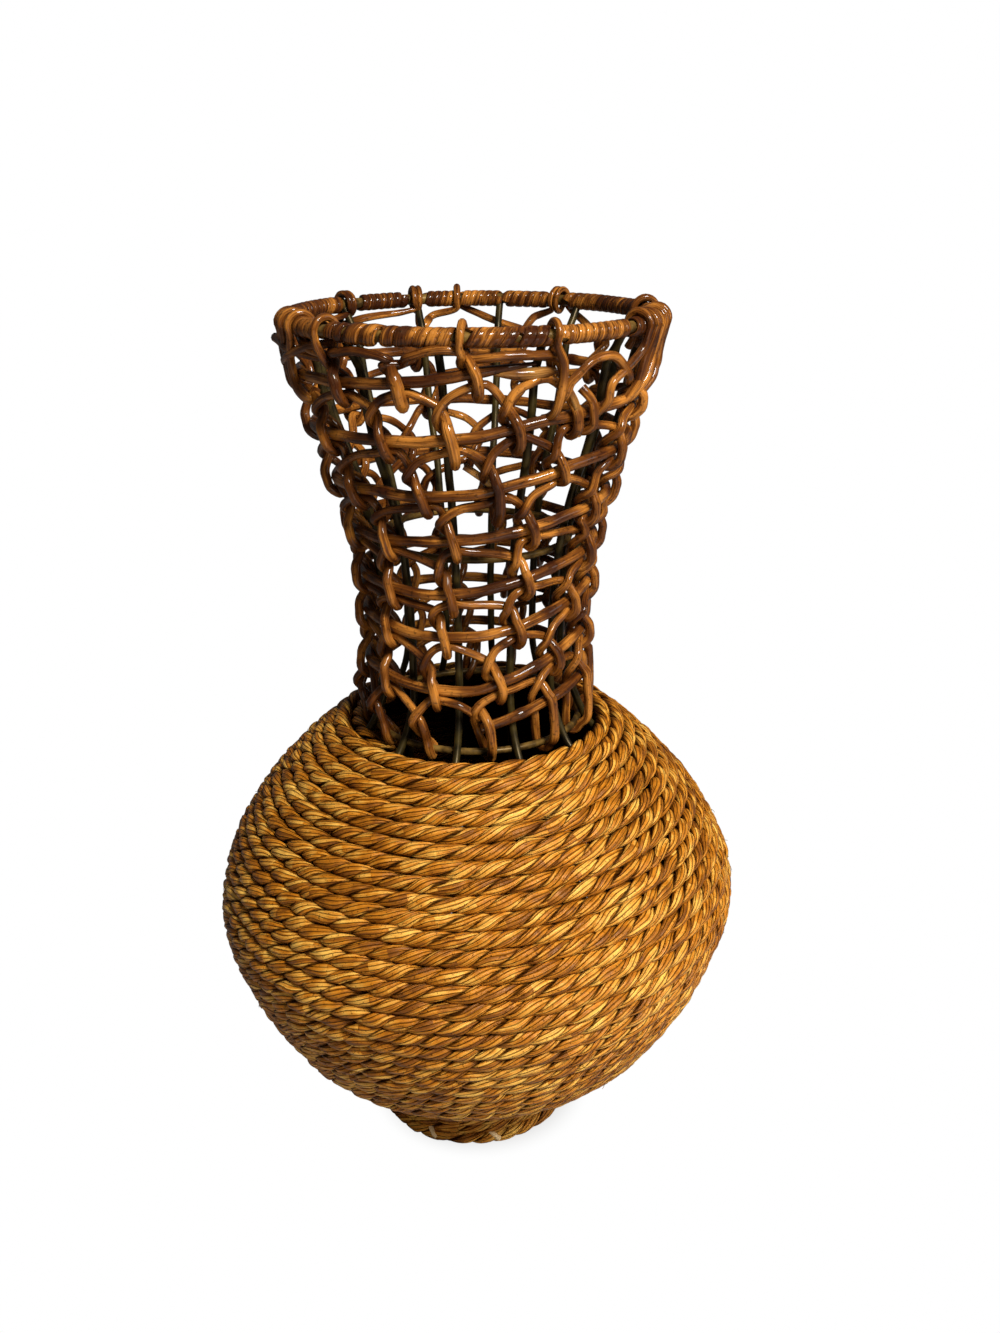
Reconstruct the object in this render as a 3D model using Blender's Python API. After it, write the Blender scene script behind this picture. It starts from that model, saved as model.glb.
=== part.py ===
"""Woven vase: an iron wire frame, a looped cane neck and a rope-wound belly.

Metres, +Z up, the front towards -Y. Angles are degrees round the vase, from
the front towards +X. Every piece is built from the sizes below: the frame
follows the two outlines, and the canes and the rope lie on the frame.
"""
import math

import bmesh
import bpy
import numpy as np

# Gap between pieces that touch on the real vase
SEAT_GAP = 0.0003
# Spare room for the flats of a ring or winding that is drawn as a polygon
FLAT_ROOM = 0.00025

# Belly outline, over the rope
FOOT_RADIUS = 0.0476
BELLY_RADIUS = 0.1330
BELLY_HEIGHT = 0.1350
SHOULDER_RADIUS = 0.0570
SHOULDER_HEIGHT = 0.2400
LOWER_FULLNESS = 1.60
UPPER_FULLNESS = 1.85
ROPE_TOP_HEIGHT = 0.2340

# Neck outline, through the middle of the core cane
COLLAR_HEIGHT = 0.2320
COLLAR_RADIUS = 0.0548
WAIST_HEIGHT = 0.2700
WAIST_RADIUS = 0.0523
THROAT_RADIUS = 0.0572
FLARE_RADIUS = 0.0718
RIM_HEIGHT = 0.4240
RIM_RADIUS = 0.0822
NECK_RISE = RIM_HEIGHT - COLLAR_HEIGHT
THROAT_SHARE = 0.5313
THROAT_HEIGHT = COLLAR_HEIGHT + THROAT_SHARE * NECK_RISE
FLARE_SHARE = 0.7891
FLARE_HEIGHT = COLLAR_HEIGHT + FLARE_SHARE * NECK_RISE

# Iron frame
UPRIGHT_COUNT = 12
UPRIGHT_RADIUS = 0.0021
UPRIGHT_FIRST_ANGLE = -40.0
HOOP_ROD_RADIUS = 0.0015
NECK_HOOP_SHARE = 0.4740
NECK_HOOP_HEIGHT = COLLAR_HEIGHT + NECK_HOOP_SHARE * NECK_RISE
RIM_ROD_RADIUS = 0.0026
BINDING_THICKNESS = 0.0014
BINDING_OPENING = 12.0
BINDING_OPENING_ANGLE = 180.0

# Base board inside the foot
BOARD_THICKNESS = 0.0040

# Rope winding
ROPE_RADIUS = 0.00365
ROPE_SPACE = 0.00040
ROPE_LIFT = 0.0003
FOOT_TURN_SHARE = 0.72
FOOT_SLOT_HEIGHT = 0.0070
ROPE_START_ANGLE = -159.0
ROPE_POINTS_PER_TURN = 15
ROPE_SIDES = 6

# Core cane, a rising spiral; its height where each turn passes the front, as a share of the neck's
CORE_RADIUS = 0.0023
CORE_START_ANGLE = 2.0
CORE_END_ANGLE = 30.0
CORE_FRONT_SHARES = (0.0573, 0.1615, 0.2917, 0.4063, 0.5313, 0.6458, 0.7865, 0.9036, 1.0078)
CORE_FRONT_HEIGHTS = [COLLAR_HEIGHT + share * NECK_RISE for share in CORE_FRONT_SHARES]
CORE_POINTS_PER_TURN = 20
CORE_SIDES = 5

# Looping cane
LOOPER_RADIUS = 0.0016
LOOPER_SIDES = 4
LOOPS_PER_TURN = 12
# Front hitches, per turn of the core cane: number of the first one, then angles
FRONT_HITCHES = (
    (0, (6.0, 37.0)),
    (10, (-48.0, -20.0, 11.5, 42.5)),
    (22, (-46.0, -14.5, 20.5, 53.0)),
    (34, (-41.0, -10.5, 23.5, 58.0)),
    (45, (-60.0, -36.0, -8.0, 23.5, 58.0)),
    (57, (-48.0, -20.0, 8.5, 31.5, 60.0)),
    (69, (-34.0, -8.0, 13.5, 38.5, 69.0)),
    (76, (-196.0, -151.0, -117.0, -85.0, -54.0, -23.0, 2.5, 28.0)),
)
# Hitches that reach down to the collar hoop, counted from the core's start
COLLAR_HITCHES = 6
# Loops that hang on the collar hoop and hook into the hitches above them
COLLAR_LOOPS = (6, 7, 8, 9, 10, 11)
COLLAR_LOOP_LEAD = 4.0

# Shape of one loop, measured from its hitch
ARCH_BACK = 0.0120
ARCH_SHOULDER = 0.0060
EYE_BACK = 0.0050
RETURN_BACK = 0.0056
RETURN_LEAST = 0.0032
HITCH_DROP = 0.0088
HITCH_CURL = 0.0018
RUN_START = 0.0035
RUN_DROP = 0.0058
HOOK_DROP = 0.0049
EYE_DROP = 0.0062
RETURN_DROP = 0.0100
LAYER = 0.0020

RING_POINTS = 24
ROD_SIDES = 5

# Colours are linear, with roughness and metallic
IRON = ((0.030, 0.026, 0.020), 0.55, 0.60)
ROPE = ((0.420, 0.205, 0.050), 0.70, 0.0)
CORE_CANE = ((0.330, 0.120, 0.024), 0.38, 0.0)
LOOP_CANE = ((0.270, 0.085, 0.016), 0.38, 0.0)
BINDING_CANE = ((0.240, 0.085, 0.020), 0.42, 0.0)
PLYWOOD = ((0.340, 0.220, 0.110), 0.75, 0.0)


def clear_scene():
    """Remove every object of the open file."""
    for item in list(bpy.data.objects):
        bpy.data.objects.remove(item, do_unlink=True)


def make_material(name, look):
    """One Principled material from a colour, a roughness and a metallic value."""
    colour, roughness, metallic = look
    material = bpy.data.materials.new(name)
    material.use_nodes = True
    shader = material.node_tree.nodes["Principled BSDF"]
    shader.inputs["Base Color"].default_value = (*colour, 1.0)
    shader.inputs["Roughness"].default_value = roughness
    shader.inputs["Metallic"].default_value = metallic
    material.diffuse_color = (*colour, 1.0)
    return material


def add_object(name, mesh_data, look, smooth=True):
    """Turn a bmesh into a named object with its own material."""
    bmesh.ops.recalc_face_normals(mesh_data, faces=mesh_data.faces[:])
    mesh = bpy.data.meshes.new(name)
    mesh_data.to_mesh(mesh)
    mesh_data.free()
    mesh.polygons.foreach_set("use_smooth", [smooth] * len(mesh.polygons))
    mesh.materials.append(make_material(name, look))
    item = bpy.data.objects.new(name, mesh)
    bpy.context.scene.collection.objects.link(item)
    return item


def place(radius, angle, height):
    """World point of a radius, an angle in degrees and a height."""
    turn = math.radians(angle)
    return np.array((radius * math.sin(turn), -radius * math.cos(turn), height))


def section_frames(points, closed, outward):
    """Tangent and side vectors at each point, with one side held outward if given."""
    count = len(points)
    if closed:
        tangents = np.roll(points, -1, axis=0) - np.roll(points, 1, axis=0)
    else:
        steps = np.diff(points, axis=0)
        steps = steps / np.linalg.norm(steps, axis=1)[:, None]
        tangents = np.vstack((steps[:1], steps[:-1] + steps[1:], steps[-1:]))
    tangents = tangents / np.linalg.norm(tangents, axis=1)[:, None]
    firsts = np.zeros_like(points)
    if outward is None:
        seed = np.array((0.0, 0.0, 1.0))
        if abs(tangents[0][2]) > 0.9:
            seed = np.array((1.0, 0.0, 0.0))
        side = seed
        for i in range(count):
            side = side - tangents[i] * side.dot(tangents[i])
            side = side / np.linalg.norm(side)
            firsts[i] = side
    else:
        for i in range(count):
            side = outward[i] - tangents[i] * outward[i].dot(tangents[i])
            firsts[i] = side / np.linalg.norm(side)
    seconds = np.cross(tangents, firsts)
    return firsts, seconds


def sweep(points, radius, sides, closed=False, outward=None, start=0.5, bore=0.0):
    """Tube along points; start turns the section by a share of one side."""
    points = np.asarray(points, dtype=float)
    firsts, seconds = section_frames(points, closed, outward)
    mesh_data = bmesh.new()
    skins = [radius] if bore == 0.0 else [radius, bore]
    shells = []
    for skin in skins:
        rings = []
        for i, point in enumerate(points):
            ring = []
            for k in range(sides):
                turn = 2.0 * math.pi * (k + start) / sides
                offset = firsts[i] * math.cos(turn) + seconds[i] * math.sin(turn)
                ring.append(mesh_data.verts.new(point + offset * skin))
            rings.append(ring)
        last = len(rings) if closed else len(rings) - 1
        for i in range(last):
            near = rings[i]
            far = rings[(i + 1) % len(rings)]
            for k in range(sides):
                n = (k + 1) % sides
                mesh_data.faces.new((near[k], near[n], far[n], far[k]))
        shells.append(rings)
    if not closed:
        for end in (0, -1):
            if bore == 0.0:
                mesh_data.faces.new(shells[0][end])
            else:
                outer, inner = shells[0][end], shells[1][end]
                for k in range(sides):
                    n = (k + 1) % sides
                    mesh_data.faces.new((outer[k], outer[n], inner[n], inner[k]))
    return mesh_data


def spread(count):
    """Factor that puts a polygon's corners and flats equally far off its circle."""
    return 0.5 * (1.0 + 1.0 / math.cos(math.pi / count))


def flat_share(count):
    """Radius of that polygon at the middle of its flats, as a share of the circle's."""
    return spread(count) * math.cos(math.pi / count)


def ring_points(radius, height, count=RING_POINTS):
    """Corners of a level ring."""
    wide = radius * spread(count)
    return [place(wide, 360.0 * i / count, height) for i in range(count)]


class Outline:
    """A line in radius and height, read by the distance along it."""

    def __init__(self, radii, heights):
        self.radii = np.asarray(radii, dtype=float)
        self.heights = np.asarray(heights, dtype=float)
        steps = np.hypot(np.diff(self.radii), np.diff(self.heights))
        self.along = np.concatenate(((0.0,), np.cumsum(steps)))
        self.length = self.along[-1]

    def at(self, distance):
        """Radius and height at a distance, straight on past either end."""
        inside = min(max(distance, 0.0), self.length)
        radius = np.interp(inside, self.along, self.radii)
        height = np.interp(inside, self.along, self.heights)
        over = distance - inside
        way_r, way_z = self.way(inside)
        return radius + way_r * over, height + way_z * over

    def way(self, distance):
        """Direction of the line at a distance."""
        reach = 0.002
        low = min(max(distance - reach, 0.0), self.length - 2.0 * reach)
        high = low + 2.0 * reach
        step_r = np.interp(high, self.along, self.radii) - np.interp(low, self.along, self.radii)
        step_z = np.interp(high, self.along, self.heights) - np.interp(low, self.along, self.heights)
        size = math.hypot(step_r, step_z)
        return step_r / size, step_z / size

    def off(self, distance, out):
        """Radius and height at a distance, moved out square to the line."""
        radius, height = self.at(distance)
        way_r, way_z = self.way(distance)
        return radius + way_z * out, height - way_r * out

    def distance_at_height(self, height):
        """Distance along the line where it reaches a height."""
        low = self.heights[0]
        high = self.heights[-1]
        inside = min(max(height, low), high)
        distance = np.interp(inside, self.heights, self.along)
        over = height - inside
        return distance + over / self.way(distance)[1]


def smooth_through(stations, count):
    """Smooth curve of radius over height through a few stations."""
    heights = np.array([z for r, z in stations])
    radii = np.array([r for r, z in stations])
    slopes = np.gradient(radii, heights)
    samples = np.linspace(heights[0], heights[-1], count)
    values = []
    for z in samples:
        k = min(int(np.searchsorted(heights, z, side="right")) - 1, len(heights) - 2)
        gap = heights[k + 1] - heights[k]
        t = (z - heights[k]) / gap
        values.append(
            (2 * t ** 3 - 3 * t ** 2 + 1) * radii[k]
            + (t ** 3 - 2 * t ** 2 + t) * gap * slopes[k]
            + (3 * t ** 2 - 2 * t ** 3) * radii[k + 1]
            + (t ** 3 - t ** 2) * gap * slopes[k + 1]
        )
    return Outline(values, samples)


def belly_radius(height):
    """Outer radius over the rope at a height."""
    if height < BELLY_HEIGHT:
        share = (BELLY_HEIGHT - height) / BELLY_HEIGHT
        return FOOT_RADIUS + (BELLY_RADIUS - FOOT_RADIUS) * (1.0 - share ** LOWER_FULLNESS)
    share = (height - BELLY_HEIGHT) / (SHOULDER_HEIGHT - BELLY_HEIGHT)
    return SHOULDER_RADIUS + (BELLY_RADIUS - SHOULDER_RADIUS) * (1.0 - share ** UPPER_FULLNESS)


def rope_outline():
    """Line of the rope's middle: the foot turn, then the belly from the slot up."""
    heights = np.linspace(FOOT_SLOT_HEIGHT, ROPE_TOP_HEIGHT, 240)
    skin = Outline([belly_radius(z) for z in heights], heights)
    radii = [FOOT_RADIUS - ROPE_RADIUS]
    levels = [ROPE_RADIUS + ROPE_LIFT]
    for distance in skin.along:
        radius, height = skin.off(distance, -ROPE_RADIUS)
        radii.append(radius)
        levels.append(height)
    return Outline(radii, levels)


def neck_outline():
    """Line of the core cane's middle, from the collar up to the rim."""
    stations = (
        (COLLAR_RADIUS, COLLAR_HEIGHT),
        (WAIST_RADIUS, WAIST_HEIGHT),
        (THROAT_RADIUS, THROAT_HEIGHT),
        (FLARE_RADIUS, FLARE_HEIGHT),
        (RIM_RADIUS, RIM_HEIGHT),
    )
    return smooth_through(stations, 240)


BELLY = rope_outline()
NECK = neck_outline()

# Clearances that follow from the pieces' own sizes
RIM_OUTER_RADIUS = RIM_ROD_RADIUS + SEAT_GAP + BINDING_THICKNESS
STRAND_STEP = 2.0 * LOOPER_RADIUS + SEAT_GAP
CORE_STEP = CORE_RADIUS + LOOPER_RADIUS + SEAT_GAP + FLAT_ROOM
HOOP_STEP = HOOP_ROD_RADIUS + LOOPER_RADIUS + SEAT_GAP + FLAT_ROOM
RIM_STEP = RIM_OUTER_RADIUS + LOOPER_RADIUS + SEAT_GAP + 2.0 * FLAT_ROOM
UPRIGHT_STEP = UPRIGHT_RADIUS + LOOPER_RADIUS + SEAT_GAP
UPRIGHT_DEPTH = 1.1 * LAYER + UPRIGHT_STEP + FLAT_ROOM
ROD_STEP = UPRIGHT_RADIUS + HOOP_ROD_RADIUS + SEAT_GAP
BASE_HOOP_HEIGHT = BOARD_THICKNESS + SEAT_GAP + HOOP_ROD_RADIUS
BOARD_RADIUS = (FOOT_RADIUS - ROPE_RADIUS) * flat_share(ROPE_POINTS_PER_TURN) - ROPE_RADIUS - SEAT_GAP
BASE_HOOP_RADIUS = BOARD_RADIUS - HOOP_ROD_RADIUS - SEAT_GAP


def upright_outline():
    """Line of an upright: from the base hoop, inside the rope, up the neck to the rim."""
    line = []
    over_hoop = BASE_HOOP_HEIGHT + ROD_STEP
    line.append((BASE_HOOP_RADIUS - UPRIGHT_RADIUS, over_hoop))
    line.append((BASE_HOOP_RADIUS + UPRIGHT_RADIUS, over_hoop + SEAT_GAP))
    inward = ROPE_RADIUS + UPRIGHT_RADIUS + SEAT_GAP + FLAT_ROOM
    start = BELLY.along[1]
    stations = np.linspace(start + 0.006, BELLY.length - 0.001, 9)
    for distance in stations:
        radius, height = BELLY.off(distance, 0.0)
        way_r, way_z = BELLY.way(distance)
        flat = radius * flat_share(ROPE_POINTS_PER_TURN)
        line.append((flat - way_z * inward, height + way_r * inward))
    top = NECK.distance_at_height(RIM_HEIGHT)
    low = NECK.distance_at_height(COLLAR_HEIGHT + 2.0 * UPRIGHT_RADIUS)
    for distance in np.linspace(low, top - 4.0 * RIM_OUTER_RADIUS, 7):
        line.append(NECK.off(distance, -UPRIGHT_DEPTH))
    lean = math.radians(60.0)
    for reach in (RIM_OUTER_RADIUS + 3.0 * UPRIGHT_RADIUS, RIM_OUTER_RADIUS + SEAT_GAP + FLAT_ROOM):
        line.append((RIM_RADIUS - reach * math.cos(lean), RIM_HEIGHT - reach * math.sin(lean)))
    return line


UPRIGHT_LINE = upright_outline()


def upright_radius(height):
    """Radius of the uprights' middle at a height on the neck."""
    radii = [r for r, z in UPRIGHT_LINE]
    heights = [z for r, z in UPRIGHT_LINE]
    return float(np.interp(height, heights, radii))


def hoop_radius(height):
    """Radius of a hoop that lies inside the uprights at a height."""
    line = np.array(UPRIGHT_LINE)
    starts = line[:-1]
    steps = line[1:] - starts
    radius = upright_radius(height)
    while True:
        apart = np.array((radius * spread(RING_POINTS), height)) - starts
        share = np.clip((apart * steps).sum(axis=1) / (steps * steps).sum(axis=1), 0.0, 1.0)
        near = np.linalg.norm(apart - steps * share[:, None], axis=1).min()
        if near >= ROD_STEP:
            return radius
        radius -= 0.1 * SEAT_GAP


COLLAR_HOOP_RADIUS = hoop_radius(COLLAR_HEIGHT)
NECK_HOOP_RADIUS = hoop_radius(NECK_HOOP_HEIGHT)


def core_height(angle):
    """Height of the core cane at an angle counted on round all its turns."""
    turns = np.arange(len(CORE_FRONT_HEIGHTS)) * 360.0
    return float(np.interp(angle, turns, CORE_FRONT_HEIGHTS))


def hitch_angles():
    """Angles of all hitches along the core: the front ones as set, evenly between."""
    numbers = []
    angles = []
    for turn, (first, front) in enumerate(FRONT_HITCHES):
        for i, angle in enumerate(front):
            numbers.append(first + i)
            angles.append(360.0 * turn + angle)
    return np.interp(np.arange(numbers[-1] + 1), numbers, angles)


HITCHES = hitch_angles()
LAST_HITCH = len(HITCHES) - 1


def upright_offset(angle, radius, shift):
    """Distance from the nearest upright to a point beside an angle."""
    step = 360.0 / UPRIGHT_COUNT
    spot = angle + math.degrees(shift / radius) - UPRIGHT_FIRST_ANGLE
    nearest = round(spot / step) * step
    return math.radians(spot - nearest) * radius


def beside_upright(angle, radius, shift):
    """The shift, moved sideways where an upright stands in its way."""
    off = upright_offset(angle, radius, shift)
    right = UPRIGHT_STEP + SEAT_GAP
    left = UPRIGHT_STEP + 0.5 * UPRIGHT_STEP
    if off >= right or off <= -left:
        return shift
    if off > -0.5 * UPRIGHT_RADIUS:
        return shift + right - off
    return shift - left - off


def room_on_left(angle, radius):
    """Free distance from an angle to the first upright on its left."""
    step = 360.0 / UPRIGHT_COUNT
    apart = (angle - UPRIGHT_FIRST_ANGLE) % step
    return math.radians(apart) * radius - UPRIGHT_STEP - SEAT_GAP


class Seat:
    """What a loop is hitched round: a ring on the neck, with room beside it."""

    def __init__(self, angle, height, radius, step):
        self.angle = angle
        self.height = height
        self.radius = radius
        self.step = step
        self.along = NECK.distance_at_height(height)
        self.inset = radius - NECK.at(self.along)[0]

    def point(self, across, up, out, rise=1.0):
        """World point beside the seat: across to the right, up the neck, and out."""
        share = min(max(1.0 - up / rise, 0.0), 1.0)
        radius, height = NECK.off(self.along + up, out + self.inset * share)
        return place(radius, self.angle + math.degrees(across / self.radius), height)


def core_seat(number):
    """Seat of a numbered hitch on the core cane."""
    angle = HITCHES[number]
    height = core_height(angle)
    radius = NECK.at(NECK.distance_at_height(height))[0]
    return Seat(angle, height, radius, CORE_STEP)


def collar_seat(number):
    """Seat on the collar hoop, a little left of the hitch that its loop hooks into."""
    return Seat(HITCHES[number] - COLLAR_LOOP_LEAD, COLLAR_HEIGHT, COLLAR_HOOP_RADIUS, HOOP_STEP)


def arch_shift(seat):
    """Where a loop comes up behind its ring, clear of the uprights."""
    return beside_upright(seat.angle, seat.radius, -ARCH_BACK)


def arch_points(seat, upper_angle, upper_height):
    """A loop's way up from behind its ring and back to its hitch."""
    rise = NECK.distance_at_height(upper_height) - seat.along
    ahead = math.radians(upper_angle - seat.angle) * seat.radius
    base = arch_shift(seat)
    spots = [
        (base, 0.0, -seat.step - 2.0 * SEAT_GAP + 0.1 * seat.inset),
        (-ARCH_SHOULDER, 0.49 * rise, 0.8 * LAYER + 0.1 * max(ahead, 0.0)),
        (ahead - EYE_BACK, rise - EYE_DROP, 0.5 * LAYER),
        (ahead + SEAT_GAP, rise - HOOK_DROP, -LAYER),
        (max(ahead - RETURN_BACK, -RETURN_LEAST), rise - RETURN_DROP, -1.1 * LAYER),
        (-RETURN_LEAST, 0.36 * rise, 0.3 * LAYER),
    ]
    return [seat.point(u, v, w, rise) for u, v, w in spots]


def rim_points(seat):
    """A loop's way up behind its ring, over the rim and down its front."""
    rise = NECK.distance_at_height(RIM_HEIGHT) - seat.along
    base = -min(ARCH_BACK, room_on_left(seat.angle, RIM_RADIUS))
    step = RIM_STEP
    side = min(STRAND_STEP, -base)
    spots = [
        (base, 0.0, -seat.step - SEAT_GAP),
        (0.6 * base, 0.5 * rise, -1.4 * LAYER),
        (-side, rise - 0.1 * step, -1.03 * step),
        (-0.8 * side, rise + 0.74 * step, -0.74 * step),
        (-0.5 * side, rise + 1.04 * step, 0.0),
        (-0.2 * side, rise + 0.74 * step, 0.74 * step),
        (0.0, rise - 0.1 * step, 1.03 * step),
    ]
    return [seat.point(u, v, w) for u, v, w in spots]


def hitch_points(seat, drop, next_base):
    """The hitch in front of the ring, its curl below and the run to the next arch."""
    spots = [
        (0.0, 0.0, seat.step + SEAT_GAP),
        (-HITCH_CURL, -drop, LAYER),
        (RUN_START, -drop + SEAT_GAP, -0.4 * LAYER),
    ]
    if next_base is not None:
        spots.append((next_base - HITCH_CURL, -RUN_DROP, -LAYER))
    return [seat.point(u, v, w) for u, v, w in spots]


def long_hitch_points(seat, next_base):
    """A hitch that crosses the ring and goes once round the collar hoop below it."""
    points = [
        seat.point(0.0, 0.0, seat.step + SEAT_GAP),
        seat.point(0.0, -seat.step, 0.8 * seat.step),
    ]
    round_hoop = (
        (0.0, 1.0, 0.25),
        (0.35 * STRAND_STEP, 0.35, -1.15),
        (0.7 * STRAND_STEP, -1.20, -0.35),
        (1.1 * STRAND_STEP, -0.35, 1.20),
    )
    for across, out, up in round_hoop:
        angle = seat.angle + math.degrees(across / COLLAR_HOOP_RADIUS)
        radius = COLLAR_HOOP_RADIUS + out * HOOP_STEP
        points.append(place(radius, angle, COLLAR_HEIGHT + up * HOOP_STEP))
    points.append(seat.point(2.0 * STRAND_STEP, -1.15 * RUN_DROP, 0.3 * LAYER))
    if next_base is not None:
        points.append(seat.point(next_base - HITCH_CURL, -RUN_DROP, -LAYER))
    return points


def base_ahead(seat, following, over_rim):
    """Shift from one hitch to where the next loop comes up."""
    apart = math.radians(following.angle - seat.angle) * seat.radius
    if over_rim:
        return apart - min(ARCH_BACK, room_on_left(following.angle, RIM_RADIUS))
    return apart + arch_shift(following)


def looper_path(numbers):
    """Line of one looping cane through its hitches on the core."""
    points = []
    for i, number in enumerate(numbers):
        seat = core_seat(number)
        upper = number + LOOPS_PER_TURN
        if upper <= LAST_HITCH:
            points += arch_points(seat, HITCHES[upper] - 360.0, core_height(HITCHES[upper]))
        else:
            points += rim_points(seat)
        following = None
        if i + 1 < len(numbers):
            over_rim = upper + 1 > LAST_HITCH
            following = base_ahead(seat, core_seat(numbers[i + 1]), over_rim)
        if number < COLLAR_HITCHES:
            points += long_hitch_points(seat, following)
        else:
            points += hitch_points(seat, HITCH_DROP, following)
    return points


def collar_path():
    """Line of the looping cane on the collar hoop."""
    points = []
    for i, number in enumerate(COLLAR_LOOPS):
        seat = collar_seat(number)
        points += arch_points(seat, HITCHES[number], core_height(HITCHES[number]))
        following = None
        if i + 1 < len(COLLAR_LOOPS):
            following = base_ahead(seat, collar_seat(COLLAR_LOOPS[i + 1]), False)
        points += hitch_points(seat, 2.0 * HOOP_STEP, following)
    return points


def rope_turns():
    """Number of rope turns from the foot to the shoulder."""
    spacing = 2.0 * ROPE_RADIUS + ROPE_SPACE
    climb = BELLY.length - BELLY.along[1]
    return 1.0 + math.floor(climb / spacing)


def rope_distance(turn):
    """Distance along the belly outline after a number of turns."""
    slot = BELLY.along[1]
    if turn <= FOOT_TURN_SHARE:
        return 0.0
    if turn <= 1.0:
        share = (turn - FOOT_TURN_SHARE) / (1.0 - FOOT_TURN_SHARE)
        return slot * share * share * (3.0 - 2.0 * share)
    climb = BELLY.length - slot
    return slot + climb * (turn - 1.0) / (rope_turns() - 1.0)


def rope_path():
    """Corners of the whole rope and its outward sides."""
    total = rope_turns()
    count = int(round(total * ROPE_POINTS_PER_TURN))
    points = []
    sides = []
    for turn in np.linspace(0.0, total, count + 1):
        distance = rope_distance(turn)
        radius, height = BELLY.at(distance)
        way_r, way_z = BELLY.way(distance)
        angle = ROPE_START_ANGLE + 360.0 * turn
        points.append(place(radius * spread(ROPE_POINTS_PER_TURN), angle, height))
        sides.append(place(way_z, angle, -way_r))
    return np.array(points), np.array(sides)


def least_turn_gap(points, per_turn, radius):
    """Least gap between a winding's neighbouring turns, from their middles."""
    apart = points[per_turn:] - points[:-per_turn]
    return float(np.linalg.norm(apart, axis=1).min() - 2.0 * radius)


def make_rope():
    """The rope in two lengths, the foot and lower belly, then the upper belly."""
    points, sides = rope_path()
    cut = len(points) // 2
    middle = 0.5 * (points[cut - 1] + points[cut])
    way = points[cut] - points[cut - 1]
    way = way * SEAT_GAP / np.linalg.norm(way)
    lower = np.vstack((points[:cut], (middle - way)[None]))
    upper = np.vstack(((middle + way)[None], points[cut:]))
    lengths = (("rope_lower", lower, sides[: cut + 1]), ("rope_upper", upper, sides[cut - 1:]))
    for name, line, outward in lengths:
        gap = least_turn_gap(line[1:-1], ROPE_POINTS_PER_TURN, ROPE_RADIUS)
        turns = len(line) / ROPE_POINTS_PER_TURN
        print(name, "turns", round(turns, 1), "least gap mm", round(gap * 1000.0, 3))
        mesh_data = sweep(line, ROPE_RADIUS, ROPE_SIDES, outward=outward)
        add_object(name, mesh_data, ROPE)


def make_core():
    """The core cane, one rising spiral round the neck."""
    end = 360.0 * (len(CORE_FRONT_HEIGHTS) - 2) + CORE_END_ANGLE
    count = int(round((end - CORE_START_ANGLE) / 360.0 * CORE_POINTS_PER_TURN))
    points = []
    sides = []
    for angle in np.linspace(CORE_START_ANGLE, end, count + 1):
        radius, height = NECK.at(NECK.distance_at_height(core_height(angle)))
        points.append(place(radius * spread(CORE_POINTS_PER_TURN), angle, height))
        sides.append(place(1.0, angle, 0.0))
    points = np.array(points)
    gap = least_turn_gap(points, CORE_POINTS_PER_TURN, CORE_RADIUS)
    print("core_cane least gap mm", round(gap * 1000.0, 3))
    add_object("core_cane", sweep(points, CORE_RADIUS, CORE_SIDES, outward=np.array(sides)), CORE_CANE)


def make_loopers():
    """The looping canes: one on the collar hoop, then one for each pass of the front."""
    add_object("looper_0", sweep(collar_path(), LOOPER_RADIUS, LOOPER_SIDES), LOOP_CANE)
    rows = [[] for turn in FRONT_HITCHES]
    for number, angle in enumerate(HITCHES):
        row = min(int((angle + 180.0) // 360.0), len(rows) - 1)
        rows[row].append(number)
    for row, numbers in enumerate(rows):
        mesh_data = sweep(looper_path(numbers), LOOPER_RADIUS, LOOPER_SIDES)
        add_object("looper_%d" % (row + 1), mesh_data, LOOP_CANE)


def make_uprights():
    """The upright rods, evenly round the vase."""
    for i in range(UPRIGHT_COUNT):
        angle = UPRIGHT_FIRST_ANGLE + 360.0 * i / UPRIGHT_COUNT
        points = [place(r, angle, z) for r, z in UPRIGHT_LINE]
        sides = np.array([place(1.0, angle + 90.0, 0.0)] * len(points))
        mesh_data = sweep(points, UPRIGHT_RADIUS, ROD_SIDES, outward=sides)
        add_object("upright_%02d" % (i + 1), mesh_data, IRON)


def make_hoops():
    """The level hoops: at the base, at the neck's foot, up the neck and at the rim."""
    hoops = (
        ("base_hoop", BASE_HOOP_RADIUS, BASE_HOOP_HEIGHT),
        ("collar_hoop", COLLAR_HOOP_RADIUS, COLLAR_HEIGHT),
        ("neck_hoop", NECK_HOOP_RADIUS, NECK_HOOP_HEIGHT),
    )
    for name, radius, height in hoops:
        points = ring_points(radius, height)
        sides = np.array(points) * (1.0, 1.0, 0.0)
        add_object(name, sweep(points, HOOP_ROD_RADIUS, ROD_SIDES, closed=True, outward=sides), IRON)
    points = ring_points(RIM_RADIUS, RIM_HEIGHT)
    sides = np.array(points) * (1.0, 1.0, 0.0)
    add_object("rim_hoop", sweep(points, RIM_ROD_RADIUS, 6, closed=True, outward=sides), IRON)


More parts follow.
